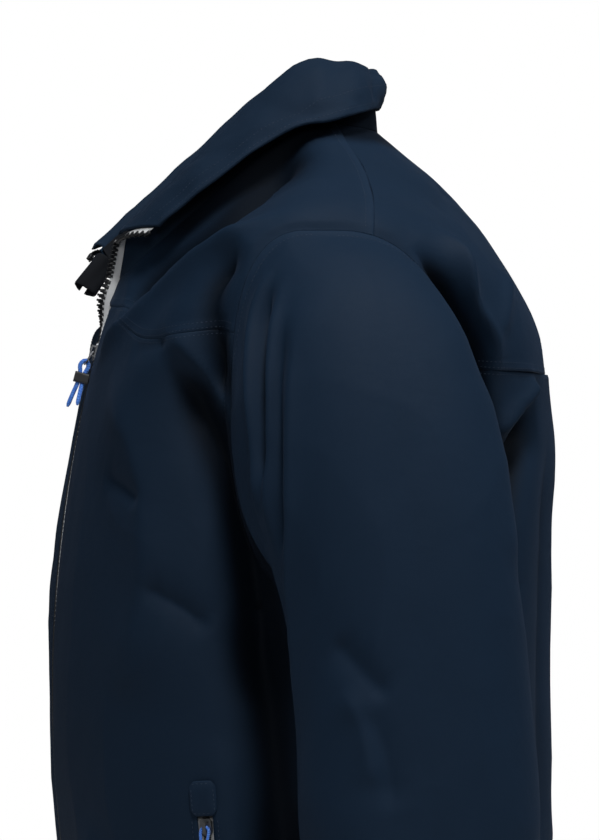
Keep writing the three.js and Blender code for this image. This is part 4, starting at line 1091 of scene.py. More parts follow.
def add_front(side, name):
    mirror = side < 0
    seed = FRONT_SEED[name]
    low = body_sheet(front_panel, 300, 650, mirror)
    edges = seam_relief(low, lapped=("bottom",), tucked=("top",)) + held_by_zip(low, "left")
    low.raise_by(body_relief(low, seed) + edges + pucker(low, ("top", "right"), seed))
    shade = low.seam_shade(("left", "top", "bottom"))
    piece = low.mesh(f"{name}_front_panel_cloth", SHELL, CLOTH, shade)
    cut_pocket(piece, side)
    finish_cloth(
        f"{name}_front_panel", piece, low, "shell_cloth",
        [("left", 6), *HEM_ROWS, ("right", 6.5), ("top", 3)],
    )
    high = body_sheet(front_yoke, 210, 150, mirror)
    edges = seam_relief(high, lapped=("bottom", "top"))
    high.raise_by(body_relief(high, seed) + edges + pucker(high, ("bottom", "top"), seed + 5))
    add_cloth(
        f"{name}_front_yoke", high, YOKE, CLOTH, "yoke_cloth",
        worn=("bottom", "top"), rows=[*YOKE_ROWS, ("top", 6.5)],
    )


def add_back():
    high = body_sheet(back_yoke, 430, 190)
    edges = seam_relief(high, lapped=("bottom",), tucked=("top",))
    high.raise_by(body_relief(high, BACK_YOKE_SEED) + edges + pucker(high, ("bottom",), 9.0))
    add_cloth(
        "back_yoke", high, YOKE, CLOTH, "yoke_cloth",
        worn=("bottom",), rows=YOKE_ROWS,
    )
    low = body_sheet(back_panel, 420, 610)
    edges = seam_relief(low, lapped=("bottom",), tucked=("top",))
    low.raise_by(body_relief(low, BACK_SEED) + edges + pucker(low, ("top", "left", "right"), 15.0))
    add_cloth(
        "back_panel", low, SHELL, CLOTH, "shell_cloth",
        worn=("bottom", "top"), rows=[*HEM_ROWS, ("top", 3)],
    )


# ---------------------------------------------------------------- sleeves and cuffs


def sleeve_sheet(t0, t1, step, mirror, columns=None):
    columns = columns or round(540 / step)
    line = np.linspace(t0, t1, 400)
    path = sleeve_skin(np.full(400, 0.5), line)
    along = np.concatenate([[0], np.cumsum(np.linalg.norm(np.diff(path, axis=0), axis=1))])
    heights = np.interp(spaced(along[-1], step), along / along[-1], line)
    turns, heights = np.meshgrid(np.linspace(0, 2 * math.pi, columns + 1), heights)
    return Sheet(sleeve_skin, turns, heights, wraps=True, mirror=mirror), turns


def follow_arm(piece, side):
    """Bakes the piece's place into its mesh and works out each point's distance to the armhole and its share
    along it; nothing more is done with them, so the cloth does not turn with the arm."""
    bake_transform(piece)
    points = np.array([v.co for v in piece.data.vertices]) / MM
    points[:, 0] *= side
    gap, share = distance_to(points, armhole_path)


SLEEVE_CALM, CUFF_CALM_Z = 7, -650


def sleeve_relief(sheet, side, seed):
    points = sheet.base.reshape(-1, 3)
    height = fold_height(points, SLEEVE_FOLDS, float(side))
    # Painted shade in the bottoms of the sleeve's folds.
    sheet.painted_shade_depth = -height.reshape(sheet.base.shape[:2])
    height += slack(points, seed)
    near = points * [side, 1, 1]
    height *= smooth((distance_to(near, armhole_path)[0] - SEAM_STILL) / SLEEVE_CALM)
    over_cuff = points[:, 2] - CUFF_CALM_Z
    height *= np.where(over_cuff < 30, smooth((over_cuff + 10) / 40) * 0.7 + 0.3, 1)
    return height.reshape(sheet.base.shape[:2])


def place_on_arm(node_name, piece, side):
    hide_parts(node_name)
    follow_arm(piece, side)


def add_sleeve(side, name):
    seed = SLEEVE_SEED[name]
    sheet, _ = sleeve_sheet(0.0, CUFF_START, 3.1, side < 0)
    edges = seam_relief(sheet, tucked=("top",))
    sheet.raise_by(sleeve_relief(sheet, side, seed) + edges + pucker(sheet, ("bottom", "top"), seed))
    piece = sheet.mesh(f"{name}_sleeve_cloth", YOKE, CLOTH, sheet.seam_shade(("bottom", "top")))
    place_on_arm(f"{name}_sleeve", piece, side)
    sewn = stitches(f"{name}_sleeve_stitching", [sheet.line("bottom", 6.5)])
    follow_arm(sewn, side)
    declare(sheet)
    inner, _ = sleeve_sheet(0.2, CUFF_START - 0.05, 7, side < 0, 80)
    inner.raise_by(sleeve_relief(inner, side, seed), SLEEVE_LINING_DEPTH)
    lining = inner.mesh(f"{name}_sleeve_lining_cloth", LINING, LINING_CLOTH)
    place_on_arm(f"{name}_sleeve_lining", lining, side)
    declare(inner)


TAB_START, TAB_END = -0.1, -0.27
CUFF_CLOTH, TAB_CLOTH, PATCH_CLOTH = 2.2, 1.6, 1.0
TAB_LIFT, PATCH_LIFT = 3.3, 1.5
EVERY_EDGE = ("left", "right", "top", "bottom")


def add_cuff(side, name):
    body = f"{name}_sleeve"
    sheet, _ = sleeve_sheet(CUFF_START + 0.008, float(SLEEVE_END), 3.6, side < 0, 150)
    sheet.raise_by(0.6 * rumple(sheet.base.reshape(-1, 3), 40).reshape(sheet.base.shape[:2]))
    add_cloth(
        f"{name}_cuff", sheet, SHELL, CUFF_CLOTH, "shell_cloth",
        worn=("bottom", "top"), rounded=("top", "bottom"),
        rows=[("bottom", 3), ("top", 4), ("top", 20)], body=body,
    )

    def strip(u0, u1, t0, t1, lift, columns, rows):
        turns = 2 * math.pi * mix(u0, u1, np.linspace(0, 1, columns))
        turns, heights = np.meshgrid(turns, np.linspace(t0, t1, rows))
        made = Sheet(sleeve_skin, turns, heights, mirror=side < 0)
        return made.raise_by(np.full(turns.shape, lift))

    hooks = strip(TAB_END + 0.09, TAB_END - 0.04, 6.6, 6.9, PATCH_LIFT, 40, 18)
    add_cloth(
        f"{name}_cuff_patch", hooks, HOOK, PATCH_CLOTH, "charcoal_cloth",
        body=body,
    )
    tab = strip(TAB_START, TAB_END, 6.58, 6.92, TAB_LIFT, 70, 26)
    add_cloth(
        f"{name}_cuff_tab", tab, YOKE, TAB_CLOTH, "yoke_cloth",
        worn=EVERY_EDGE, rounded=EVERY_EDGE, rows=[(edge, 2.2) for edge in EVERY_EDGE],
        body=f"{name}_cuff_tab",
    )


# ---------------------------------------------------------------- collar


def collar_grid(width, length, step=3.0):
    return np.meshgrid(spaced(width, step), spaced(length, step))


STAND_CLOTH, FALL_CLOTH, COLLAR_LINING = 1.5, 2.6, 1.0


def add_collar():
    f, w = collar_grid(480, 45)
    stand = Sheet(stand_skin, f, w)
    height = 0.5 * slack(stand.base.reshape(-1, 3), STAND_SEED).reshape(f.shape) * smooth(stand.up / 14)
    stand.raise_by(height)
    # Painted shade over the whole stand except its ends, for the dark under the collar fall.
    stand.painted_shade = smooth((f - 0.06) / 0.08) * smooth((0.94 - f) / 0.08)
    add_cloth(
        "collar_stand", stand, COLLAR, STAND_CLOTH, "shell_cloth",
        worn=("bottom",),
    )
    f, q = collar_grid(560, 62)
    fall = Sheet(fall_skin, f, q, turn=-1)
    points = fall.base.reshape(-1, 3)
    height = slack(points, FALL_SEED) + 1.6 * creased(points, 34, (1, 1, 0.7), FALL_CREASE_SEED)
    height = (height + fold_height(points, COLLAR_FOLDS)).reshape(f.shape)
    fall.raise_by(0.85 * height * smooth(fall.up / 12) + seam_relief(fall, lapped=("top",)))
    add_cloth(
        "collar_fall", fall, COLLAR, FALL_CLOTH, "shell_cloth",
        worn=("top", "left", "right"), rounded=("top", "left", "right", "bottom"),
        rows=[("top", 5.5), ("top", 18)],
    )
    f, w = collar_grid(440, 42, 8)
    lining = Sheet(stand_skin, f, mix(0.03, 0.97, w))
    lining.raise_by(np.zeros(f.shape), 3.4)
    add_cloth(
        "collar_lining", lining, CHARCOAL, COLLAR_LINING, "charcoal_cloth"
    )


# ---------------------------------------------------------------- linings and what is inside


def grid_between(outline, u0, u1, v0, v1, columns, rows, mirror=False):
    a, b = outline(np.linspace(u0, u1, columns), np.linspace(v0, v1, rows))
    return Sheet(body_skin, a, b, mirror=mirror)


def add_inside(name, sheet, depth, look, slot, seed, thickness=LINING_CLOTH):
    sheet.raise_by(body_relief(sheet, seed), depth)
    add_cloth(name, sheet, look, thickness, slot)


HEM_BAND = (0.001, 0.06)      # the shares of a panel's height between which its hem facing lies
LINING_BAND = (0.085, 0.998)


def add_linings():
    for side, name in SIDES:
        mirror = side < 0
        seed = FRONT_SEED[name]
        front = grid_between(front_panel, 0.16, 0.995, *LINING_BAND, 44, 70, mirror)
        add_inside(f"{name}_front_lining", front, LINING_DEPTH, LINING, "lining_cloth", seed)
        hem = grid_between(front_panel, 0.09, 0.998, *HEM_BAND, 90, 8, mirror)
        add_inside(f"{name}_hem_facing", hem, FACING_DEPTH, CHARCOAL, "charcoal_cloth", seed)
        angle, up = np.meshgrid(np.linspace(30, 78, 30) * DEG, np.linspace(-690, -468, 34))
        bag = Sheet(body_skin, angle, ring_at(angle, up), mirror=mirror)
        add_inside(f"{name}_pocket_bag", bag, BAG_DEPTH, LINING, "lining_cloth", seed, BAG_CLOTH)
    back = grid_between(back_panel, 0, 1, *LINING_BAND, 60, 66)
    add_inside("back_lining", back, LINING_DEPTH, LINING, "lining_cloth", BACK_SEED)
    high = grid_between(back_yoke, 0, 1, 0.01, 0.9, 70, 26)
    add_inside(
        "back_yoke_lining", high, LINING_DEPTH, CHARCOAL, "charcoal_cloth", BACK_YOKE_SEED,
    )
    hem = grid_between(back_panel, 0, 1, *HEM_BAND, 120, 8)
    add_inside(
        "back_hem_facing", hem, FACING_DEPTH, CHARCOAL, "charcoal_cloth", BACK_SEED
    )


FLAP_FOOT_Z, FLAP_HEAD_Z, FLAP_WIDTH = RETAINER_Z + 8, NECK_FRONT_Z - 12, 32


def add_storm_flap():
    u, v = np.meshgrid(np.linspace(0, 1, 14), np.linspace(0, 1, 150))
    z = mix(FLAP_FOOT_Z, FLAP_HEAD_Z, v)
    angle, t = front_at(mix(0.5, FLAP_WIDTH, u) + edge_spread(z), z)
    flap = Sheet(body_skin, angle, t)
    flap.raise_by(0.8 * rumple(flap.base.reshape(-1, 3), 60).reshape(u.shape), 7)
    add_cloth("inner_storm_flap", flap, SHELL, 0.9, "shell_cloth")


GUARD_FOOT, GUARD_HEAD = np.array([-11.0, -206.0, -122.0]), np.array([-17.0, -190.0, -98.0])
GUARD_RADIUS = 8.0


def guard_skin(turn, along):
    turn, along = np.broadcast_arrays(np.asarray(turn, float), np.asarray(along, float))
    axis = unit(GUARD_HEAD - GUARD_FOOT)
    first = unit(np.cross(axis, [1.0, 0, 0]))
    second = np.cross(first, axis)
    ring = np.cos(turn)[..., None] * first + np.sin(turn)[..., None] * second
    radius = GUARD_RADIUS * (1 + 0.12 * np.sin(3 * turn + 2 * along) - 0.15 * along)
    return mix(GUARD_FOOT, GUARD_HEAD, along[..., None]) + radius[..., None] * ring


def add_chin_guard():
    """The soft guard rolled over the top of the right half's zip, with a blank white band."""
    turn, along = np.meshgrid(np.linspace(-80, 255, 70) * DEG, np.linspace(0, 1, 24))
    guard = Sheet(guard_skin, turn, along)
    piece = guard.mesh("chin_guard_cloth", CHARCOAL, 1.0, None, ("bottom", "top"))
    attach(piece, "jacket")
    turn, along = np.meshgrid(np.linspace(30, 150, 30) * DEG, np.linspace(0.6, 0.84, 8))
    band = Sheet(guard_skin, turn, along).raise_by(np.full(turn.shape, 0.6))
    sewn = band.mesh("chin_guard_band", WHITE_TAPE, 0.5)
    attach(sewn, "jacket")
    declare(guard)


def add_neck_tape():
    f, w = np.meshgrid(np.linspace(0.38, 0.62, 60), np.linspace(-0.25, 0.02, 8))
    tape = Sheet(stand_skin, f, w)
    tape.raise_by(np.zeros(f.shape), 4.6)
    add_cloth("neck_tape", tape, CHARCOAL, LINING_CLOTH, "charcoal_cloth")


def cad_box_of(name):
    return (np.array(corner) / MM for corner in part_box(name))


def add_hang_loop():
    """A strap bowed over the hook, its two ends turned down into the neck seam."""
    low, high = cad_box_of("hang_loop")
    half, top, foot = high[0], high[2], low[2]
    shoulder = [(half / 2, top), (half - 4, top - 1), (half - 0.6, -6), (half, foot)]
    bow = [(-x, z) for x, z in reversed(shoulder)] + [(0, top)] + shoulder
    path = smooth_path([(x, 0, z) for x, z in bow], 60)
    run = unit(np.gradient(path, axis=0))
    out = np.stack([-run[:, 2], 0 * run[:, 0], run[:, 0]], 1)
    across = np.linspace(low[1], high[1], 9)
    grid = np.stack([path + [0, y, 0] for y in across])
    strap = Sheet.drawn(grid, np.broadcast_to(out, grid.shape))
    piece = strap.mesh("hang_loop_strap", CHARCOAL, 1.4)
    place("hang_loop", piece, "charcoal_cloth")


def add_size_label():
    """A blank label, sewn in along its top."""
    low, high = cad_box_of("size_label")
    x, z = np.meshgrid(np.linspace(low[0], high[0], 24), np.linspace(low[2], high[2], 24))
    curl = low[1] + 0.5 * np.sin((z - low[2]) / (high[2] - low[2]) * math.pi)
    face = np.stack([x, curl, z], -1)
    label = Sheet.drawn(face, np.broadcast_to(np.array([0.0, -1.0, 0.0]), face.shape))
    add_cloth("size_label", label, LABEL, 0.4, "label")


# ---------------------------------------------------------------- front zip

ZIP_DEPTH = 1.6               # the zip lies this far below the cloth's skin
TOOTH_PITCH = 3.7
TOOTH_HALF_THICK = 1.25
TAPE_EDGE = 2.6               # from the zip's centre line to the tape's edge
# A tooth from above, tip first: x across the zip from its centre line, y along the zip.
TOOTH_OUTLINE = [
    (-1.1, -0.55), (-0.7, -0.85), (0.3, -0.85), (0.9, -0.7), (1.4, -1.4), (4.3, -1.45),
    (4.3, 1.45), (1.4, 1.4), (0.9, 0.7), (0.3, 0.85), (-0.7, 0.85), (-1.1, 0.55),
]
STAND_RUN, FALL_RUN = 34, 38


TAPE_SHOWN = 3.8              # the width of tape that shows beside the opened zip
TAPE_UNDER = 6.0              # the tape runs this far on under the cloth
OPEN_SWING = 68 * DEG         # above the slider each half of the zip turns forward by up to this much


def swung(point, across, out, swing, show):
    """Turns a half of the zip about the cloth's edge and pushes it out by the tape that shows."""
    swing, show = (np.broadcast_to(value, len(point)) for value in (swing, show))
    cos, sin = np.cos(swing)[:, None], np.sin(swing)[:, None]
    turned, faced = cos * across - sin * out, cos * out + sin * across
    from_edge = PANEL_EDGE + show
    return point + PANEL_EDGE * across - from_edge[:, None] * turned, turned, faced, from_edge


def front_stations(heights):
    """Places on the left half of the front zip: point, across, out and the distance to the cloth's edge."""
    angle, t = front_at(edge_spread(heights) + 1e-3, heights)
    point = below(body_skin, angle, t, ZIP_DEPTH)
    out = unit(body_skin(angle, t) - point)
    across = unit(np.array([1.0, 0, 0]) - out * out[:, :1])
    opened = smooth((heights - SPREAD_START_Z) / 34)
    return swung(point, across, out, OPEN_SWING * opened, TAPE_SHOWN * opened)


def collar_stations(skin, f, heights, turn, swing, show):
    """The same on a collar end, left where f is 0 and right where it is 1."""
    inward = 1 if f == 0 else -1
    f = np.full(heights.shape, float(f))
    edge = below(skin, f, heights, ZIP_DEPTH, turn)
    out = unit(skin(f, heights) - edge)
    across = (skin(f + 0.02 * inward, heights) - skin(f, heights))
    across = unit(across - out * (across * out).sum(1, keepdims=True))
    return swung(edge - across * (PANEL_EDGE + 1.5), across, out, swing, show)


def zip_stations(side, spacing, phase=0.0, hidden_above=False):
    start = RETAINER_Z + phase * spacing
    low = front_stations(np.arange(start, NECK_FRONT_Z, spacing))
    if side < 0:
        low = tuple(grid * FLIP for grid in low[:3]) + low[3:]
    end = 0 if side > 0 else 1
    stand = np.arange(spacing * (1 - phase / 2), STAND_RUN, spacing) / STAND_RUN
    fall = mix(TURN_SHARE * 0.7, 1.0, np.arange(spacing * 0.7, FALL_RUN, spacing) / FALL_RUN)
    if side < 0 and hidden_above:
        return low
    runs = [
        low,
        collar_stations(stand_skin, end, stand, 1, OPEN_SWING, TAPE_SHOWN),
        collar_stations(fall_skin, end, fall, -1, 0.0, 2.0),
    ]
    return tuple(np.concatenate([run[k] for run in runs]) for k in range(4))


def add_teeth(side, name):
    point, across, out, _ = zip_stations(side, TOOTH_PITCH, 0.0 if side > 0 else 0.5)
    along = unit(np.cross(out, across))
    outline = np.array(TOOTH_OUTLINE)
    count = len(outline)
    middle = outline.mean(0)
    layers = [(-TOOTH_HALF_THICK, 0.8), (-0.8, 1.0), (0.8, 1.0), (TOOTH_HALF_THICK, 0.78)]
    vertices, faces = [], []
    for k in range(len(point)):
        first = len(vertices)
        for height, share in layers:
            for x, y in middle + (outline - middle) * share:
                vertices.append(point[k] + across[k] * x + along[k] * y + out[k] * height)
        for layer in range(len(layers) - 1):
            for i in range(count):
                a = first + layer * count + i
                b = first + layer * count + (i + 1) % count
                faces += [(a, b, b + count), (a, b + count, a + count)]
        top = first + (len(layers) - 1) * count
        for i in range(1, count - 1):
            faces += [(first, first + i + 1, first + i), (top, top + i, top + i + 1)]
    piece = make_mesh(f"{name}_zip_teeth_moulded", vertices, faces, TEETH)
    place(f"{name}_zip_teeth", piece, "dark_plastic")


def add_tape(side, name):
    """The tape's edge shows between the teeth, and its other edge runs on under the cloth."""
    point, across, out, from_edge = zip_stations(side, 4.0, hidden_above=True)
    narrow = point[:, 2] > YOKE_FRONT_Z - 12
    places = np.array([0.0, 0.06, 0.14, 0.2, 0.3, 0.5, 0.75, 1.0])
    bead = np.array([0.0, 0.7, 0.9, 0.5, 0.1, 0.1, 0.1, 0.1])
    far = from_edge + np.where(narrow, 0.5, TAPE_UNDER)
    x = mix(TAPE_EDGE, far[:, None], places[None, :])
    flat = point[:, None, :] + across[:, None, :] * x[..., None]
    tape = Sheet.drawn(flat, np.repeat(out[:, None, :], len(places), 1))
    tape.points = flat + tape.normals * bead[None, :, None]
    add_cloth(f"{name}_zip_tape", tape, WHITE_TAPE, 0.6, "zip_tape")


# ---------------------------------------------------------------- hand pockets


def in_pocket(x, down, out, side):
    """A point x across, down the pocket's zip and out of the cloth."""
    normal, across = pocket_axes()
    x, down, out = (np.asarray(value, float)[..., None] for value in (x, down, out))
    point = pocket_top + across * x + pocket_down * down + normal * out
    return point * (FLIP if side < 0 else 1)


def flat_sheet(x, down, out, side):
    """A sheet drawn in the pocket's own flat frame."""
    points = in_pocket(x, down, out, side)
    normal = pocket_axes()[0] * (FLIP if side < 0 else 1)
    return Sheet.drawn(points, np.broadcast_to(normal, points.shape))


COIL_PITCH, COIL_HALF, COIL_WIRE = 1.5, 2.4, 0.42
COIL_OUT = -2.0
GARAGE_HALF, GARAGE_HEAD, GARAGE_FOOT = 10.0, -18.0, 7.0
# The painted shade on the pocket tape under the garage fades out over this length below it.
GARAGE_SHADE = 6.0
GARAGE_ROUNDING = 0.36


POCKET_TAPE_HALF, POCKET_TAPE_OUT = 14.0, -4.2
COIL_SIDES, COIL_STEPS = 5, 14


def add_pocket_tape(side, name):
    x, down = np.meshgrid(
        np.linspace(-POCKET_TAPE_HALF, POCKET_TAPE_HALF, 30), np.linspace(-9.5, pocket_length + 4.5, 90)
    )
    tape = flat_sheet(x, down, np.full(x.shape, POCKET_TAPE_OUT), side)
    # Painted shade on the tape under the garage, fading out below it.
    tape.painted_shade = 1 - smooth((down - GARAGE_FOOT) / GARAGE_SHADE)
    add_cloth(
        f"{name}_pocket_zip_tape", tape, WHITE_TAPE, 0.7, "zip_tape"
    )


def add_coil(side, name):
    """The pocket zip's two wound wires, half a turn apart."""
    turns = pocket_length / COIL_PITCH
    phase = np.linspace(0, 2 * math.pi * turns, int(turns * COIL_STEPS))
    vertices, faces = [], []
    for half in (-1, 1):
        place_x = half * (COIL_HALF / 2) + COIL_HALF / 2 * np.cos(phase) * half
        along = phase / (2 * math.pi) * COIL_PITCH + (COIL_PITCH / 2 if half > 0 else 0)
        centre = in_pocket(place_x, along, COIL_OUT + 0.75 * np.sin(phase), side)
        run = unit(np.gradient(centre, axis=0))
        aside = unit(np.cross(run, pocket_down * (FLIP if side < 0 else 1)))
        over = np.cross(run, aside)
        first = len(vertices)
        for k in range(len(centre)):
            for turn in np.arange(COIL_SIDES) * 2 * math.pi / COIL_SIDES:
                offset = math.cos(turn) * aside[k] + math.sin(turn) * over[k]
                vertices.append(centre[k] + COIL_WIRE * offset)
        for k in range(len(centre) - 1):
            ring = first + COIL_SIDES * k
            for here in range(COIL_SIDES):
                a, b = ring + here, ring + (here + 1) % COIL_SIDES
                faces.append((a, b, b + COIL_SIDES, a + COIL_SIDES))
    piece = make_mesh(f"{name}_pocket_zip_coil_wire", vertices, faces, TEETH)
    place(f"{name}_pocket_zip_coil", piece, "dark_plastic")


def add_garage(side, name):
    """The garage: a rounded patch bonded over the head of the zip, with its edge stitched."""
    half_length = (GARAGE_FOOT - GARAGE_HEAD) / 2
    middle = (GARAGE_FOOT + GARAGE_HEAD) / 2
    u, v = np.meshgrid(np.linspace(-1, 1, 33), np.linspace(-1, 1, 39))
    narrowed = np.sqrt(1 - GARAGE_ROUNDING * v**6 * np.abs(u) ** 1.5)
    shortened = np.sqrt(1 - GARAGE_ROUNDING * u**6 * np.abs(v) ** 1.5)
    dome = 1.3 + 1.5 * (1 - u**4) * (1 - v**4)
    cover = flat_sheet(u * GARAGE_HALF * narrowed, middle + v * half_length * shortened, dome, side)
    add_cloth(
        f"{name}_pocket_garage", cover, YOKE, 1.0, "yoke_cloth",
        worn=EVERY_EDGE, rounded=EVERY_EDGE, rows=[(edge, 2.0) for edge in EVERY_EDGE],
    )


def add_pocket_stitching(side, name):
    """A row of stitches down each side of the pocket's slot."""
    normal = pocket_axes()[0] * (FLIP if side < 0 else 1)
    rows = []
    for x in (-9.5, 9.5):
        down = np.linspace(8, pocket_length + 6, 60)
        points = in_pocket(np.full(60, x), down, np.full(60, 0.9), side)
        rows.append((points, np.broadcast_to(normal, points.shape)))
    sewn = stitches(f"{name}_pocket_stitching", rows)
    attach(sewn, "jacket")


def add_pocket(side, name):
    add_pocket_tape(side, name)
    add_coil(side, name)
    add_garage(side, name)
    add_pocket_stitching(side, name)


# ---------------------------------------------------------------- cords

CORD_RADIUS = 1.5
PULL_CORD_RADIUS = 1.65
POCKET_CORD_RADIUS = 1.1


def cord_curve(name, points, radius, material, melted=2):
    """A cord as one open curve. The last points shrink, as where a cut end was melted."""
    curve = bpy.data.curves.new(name, "CURVE")
    curve.dimensions = "3D"
    curve.bevel_depth = radius * MM
    curve.bevel_resolution = 4
    curve.use_fill_caps = True
    spline = curve.splines.new("POLY")
    spline.points.add(len(points) - 1)
    for k, point in enumerate(points):
        spline.points[k].co = (*(np.array(point) * MM), 1)
    for k, share in enumerate((0.45, 0.9)[:melted]):
        spline.points[k].radius = share
        spline.points[-1 - k].radius = share
    spline.use_smooth = True
    curve.materials.append(material)
    piece = bpy.data.objects.new(name, curve)
    bpy.context.collection.objects.link(piece)
    return piece


SLIDER_DEPTH = 2.4
slider_face = body_skin(*front_at(1e-3, SLIDER_Z))
slider_point = below(body_skin, *front_at(1e-3, SLIDER_Z), SLIDER_DEPTH)
slider_origin = slider_point * [0, 1, 1]
slider_out = unit((slider_face - slider_point) * [0, 1, 1])
slider_along = np.cross(slider_out, [-1.0, 0, 0])
RING_BOTTOM, RING_WIRE = 11, 0.7
RING_TOP_OUT = TOOTH_HALF_THICK + 0.35 + 1.2 + 1
RING_BOTTOM_OUT = RING_TOP_OUT + 3.6
GRIP_AT = 20
STRAND = CORD_RADIUS + 0.2


def pull_point(x, down, out):
    """A point beside the main pull: across, down along the zip and out of the cloth."""
    return slider_origin + np.array([1.0, 0, 0]) * x + slider_along * down + slider_out * out


def add_cord(node_name, route, radius, material, slot, body,
             melted=2):
    """A cord along its route, standing for its CAD node."""
    piece = cord_curve(f"{node_name}_braid", route, radius, material, melted)
    place(node_name, piece, slot, body)


def add_main_cord():
    """One cord: through the ring, its two strands through the grip, and on as two free tails."""
    apart = STRAND + RING_WIRE + 0.7
    bight = RING_BOTTOM - RING_WIRE - STRAND - 0.6

    def knot(x, down, out=0.0):
        return pull_point(x, GRIP_AT + down, RING_BOTTOM_OUT + out)

    route = smooth_path([
        knot(-1, 25, 4.5), knot(-0.5, 14, 3), knot(0, 6, STRAND), knot(0, -2, STRAND),
        pull_point(0, RING_BOTTOM + 1, RING_BOTTOM_OUT + apart), pull_point(0, bight, RING_BOTTOM_OUT),
        pull_point(0, RING_BOTTOM + 1, RING_BOTTOM_OUT - apart), knot(0, -2, -STRAND),
        knot(0, 6, -STRAND), knot(4, 14, -STRAND), knot(8, 22, -STRAND),
    ], 40)
    add_cord(
        "main_pull_cord", route, PULL_CORD_RADIUS, BLUE_CORD, "blue_cord", "main_pull",
    )


POCKET_SLIDER_MIDDLE = 15
POCKET_BRIDGE_OUT = -1.1 + 1.6 + POCKET_CORD_RADIUS + 0.35


def add_pocket_cord(side, name):
    """A cord loop threaded through the pocket slider's bridge, hanging straight down."""
    normal, across = pocket_axes()
    start = pocket_top + pocket_down * POCKET_SLIDER_MIDDLE + normal * POCKET_BRIDGE_OUT
    leg = [(2.4, 34, 2.6), (1.6, 20, 2.4), (2.4, 9, 1.8), (3, 3, 0.8), (1.6, 0, 0)]
    knots = [(-x, drop, out) for x, drop, out in leg] + leg[::-1]
    flip = FLIP if side < 0 else 1
    route = smooth_path(
        [(start + across * x + normal * out - np.array([0, 0, drop])) * flip for x, drop, out in knots], 38
    )
    add_cord(
        f"{name}_pocket_pull_cord", route, POCKET_CORD_RADIUS, BLUE_CORD, "blue_cord",
        f"{name}_pocket_pull",
    )


HEM_CORD_Z, HEM_CORD_DEPTH, HEM_CORD_START = HEM_Z + 20, 10, 20


def add_hem_cord():
    angles = np.arange(HEM_CORD_START, 361 - HEM_CORD_START, 10) * DEG
    route = below(body_skin, angles, ring_at(angles, HEM_CORD_Z), HEM_CORD_DEPTH)
    add_cord(
        "hem_drawcord", route, CORD_RADIUS, DARK_CORD, "dark_cord", "jacket",
        melted=0,
    )


# ---------------------------------------------------------------- hard pieces kept from the frame


def finish_hard(node_name, material, bevel=0.35):
    """Gives a CAD node its material and softens its edges."""
    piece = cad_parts[node_name]
    for slot in piece.material_slots:
        slot.material = material
    if not piece.material_slots:
        piece.data.materials.append(material)
    soften = piece.modifiers.new("soft_edges", "BEVEL")
    soften.width = bevel * MM
    soften.segments = 2
    soften.limit_method = "ANGLE"
    soften.angle_limit = 35 * DEG
    soften.harden_normals = False


SIDES = ((1, "left"), (-1, "right"))

add_main_cord()
for side, name in SIDES:
    add_pocket_cord(side, name)
add_hem_cord()

add_back()
for side, name in SIDES:
    add_front(side, name)
    add_sleeve(side, name)
    add_cuff(side, name)
    add_teeth(side, name)
    add_tape(side, name)
    add_pocket(side, name)
add_collar()
add_linings()
add_storm_flap()
add_chin_guard()
add_neck_tape()
add_hang_loop()
add_size_label()

for node_name in ("main_slider", "main_pull_ring", "left_pocket_slider", "right_pocket_slider"):
    finish_hard(node_name, STEEL, 0.25)
for node_name in ("main_pull_grip", "zip_retainer_box", "zip_insertion_pin"):
    finish_hard(node_name, BLACK_PLASTIC)
for side, name in SIDES:
    finish_hard(f"{name}_cord_lock", BLACK_PLASTIC, 0.6)
    finish_hard(f"{name}_cord_lock_plunger", BLACK_PLASTIC, 0.6)

# ---------------------------------------------------------------- floor, light and background

FLOOR_Z, FLOOR_RADIUS = -1.03, 1.9


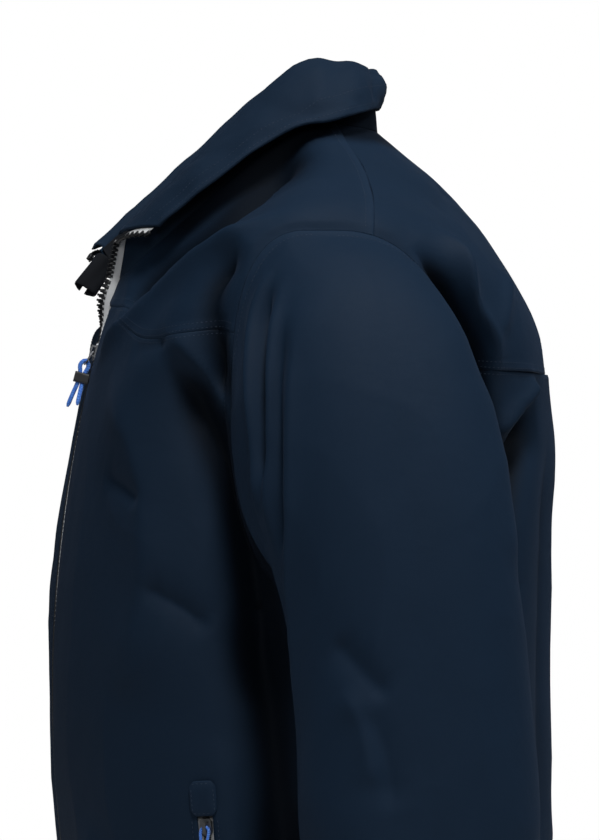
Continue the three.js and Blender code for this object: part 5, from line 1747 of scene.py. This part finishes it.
def add_floor():
    edit = bmesh.new()
    bmesh.ops.create_circle(edit, cap_ends=True, radius=FLOOR_RADIUS, segments=96)
    mesh = bpy.data.meshes.new("floor")
    edit.to_mesh(mesh)
    edit.free()
    floor = bpy.data.objects.new("floor", mesh)
    floor.location.z = FLOOR_Z
    bpy.context.collection.objects.link(floor)
    material, tree, shader = material_tree("floor_paper")
    place_at = node(tree, "TexCoord").outputs["Object"]
    grain = node(tree, "TexNoise", {"Vector": place_at}, {"Scale": 60.0}).outputs["Fac"]
    shade = colour_mix(tree, scaled(tree, grain, 0.2), (0.8, 0.8, 0.8, 1), (0.86, 0.86, 0.86, 1))
    tree.links.new(shade, shader.inputs["Base Color"])
    shader.inputs["Roughness"].default_value = 0.95
    mesh.materials.append(material)


def add_light(name, place_from, size, power, target=(0, -0.03, -0.35)):
    light = bpy.data.lights.new(name, "AREA")
    light.shape = "DISK"
    light.size = size
    light.energy = power
    lamp = bpy.data.objects.new(name, light)
    lamp.location = place_from
    lamp.rotation_euler = (Vector(place_from) - Vector(target)).to_track_quat("Z", "Y").to_euler()
    bpy.context.collection.objects.link(lamp)
    return lamp


def add_world(backdrop=1.0, ambient=0.045):
    """A white backdrop that lights the object less than it shows."""
    world = bpy.data.worlds.new("studio")
    bpy.context.scene.world = world
    world.use_nodes = True
    tree = world.node_tree
    tree.nodes.clear()
    seen = node(tree, "LightPath").outputs["Is Camera Ray"]
    strength = node(tree, "MapRange", {"Value": seen}, {"To Min": ambient, "To Max": backdrop})
    back = node(tree, "Background", {"Strength": strength.outputs[0]}, {"Color": (1, 1, 1, 1)})
    out = node(tree, "OutputWorld")
    tree.links.new(back.outputs[0], out.inputs["Surface"])


add_floor()
add_world()
add_light("key", (1.2, 0.0, 1.6), 0.5, 35)
add_light("rear", (1.1, 1.2, 1.4), 0.6, 13)
add_light("side", (2.6, -0.5, 0.5), 0.7, 9)
# Weak lights on the sides that the main camera does not see, without reflections of their own.
FILL_LIGHTS = {
    "far_side": ((-2.2, 0.5, 0.6), 24),
    "behind": ((-0.6, 2.3, 0.7), 10),
    "before": ((-0.9, -2.2, 0.6), 10),
}
for name, (spot, power) in FILL_LIGHTS.items():
    add_light(name, spot, 0.9, power).visible_glossy = False
bpy.context.scene.view_settings.view_transform = "Standard"
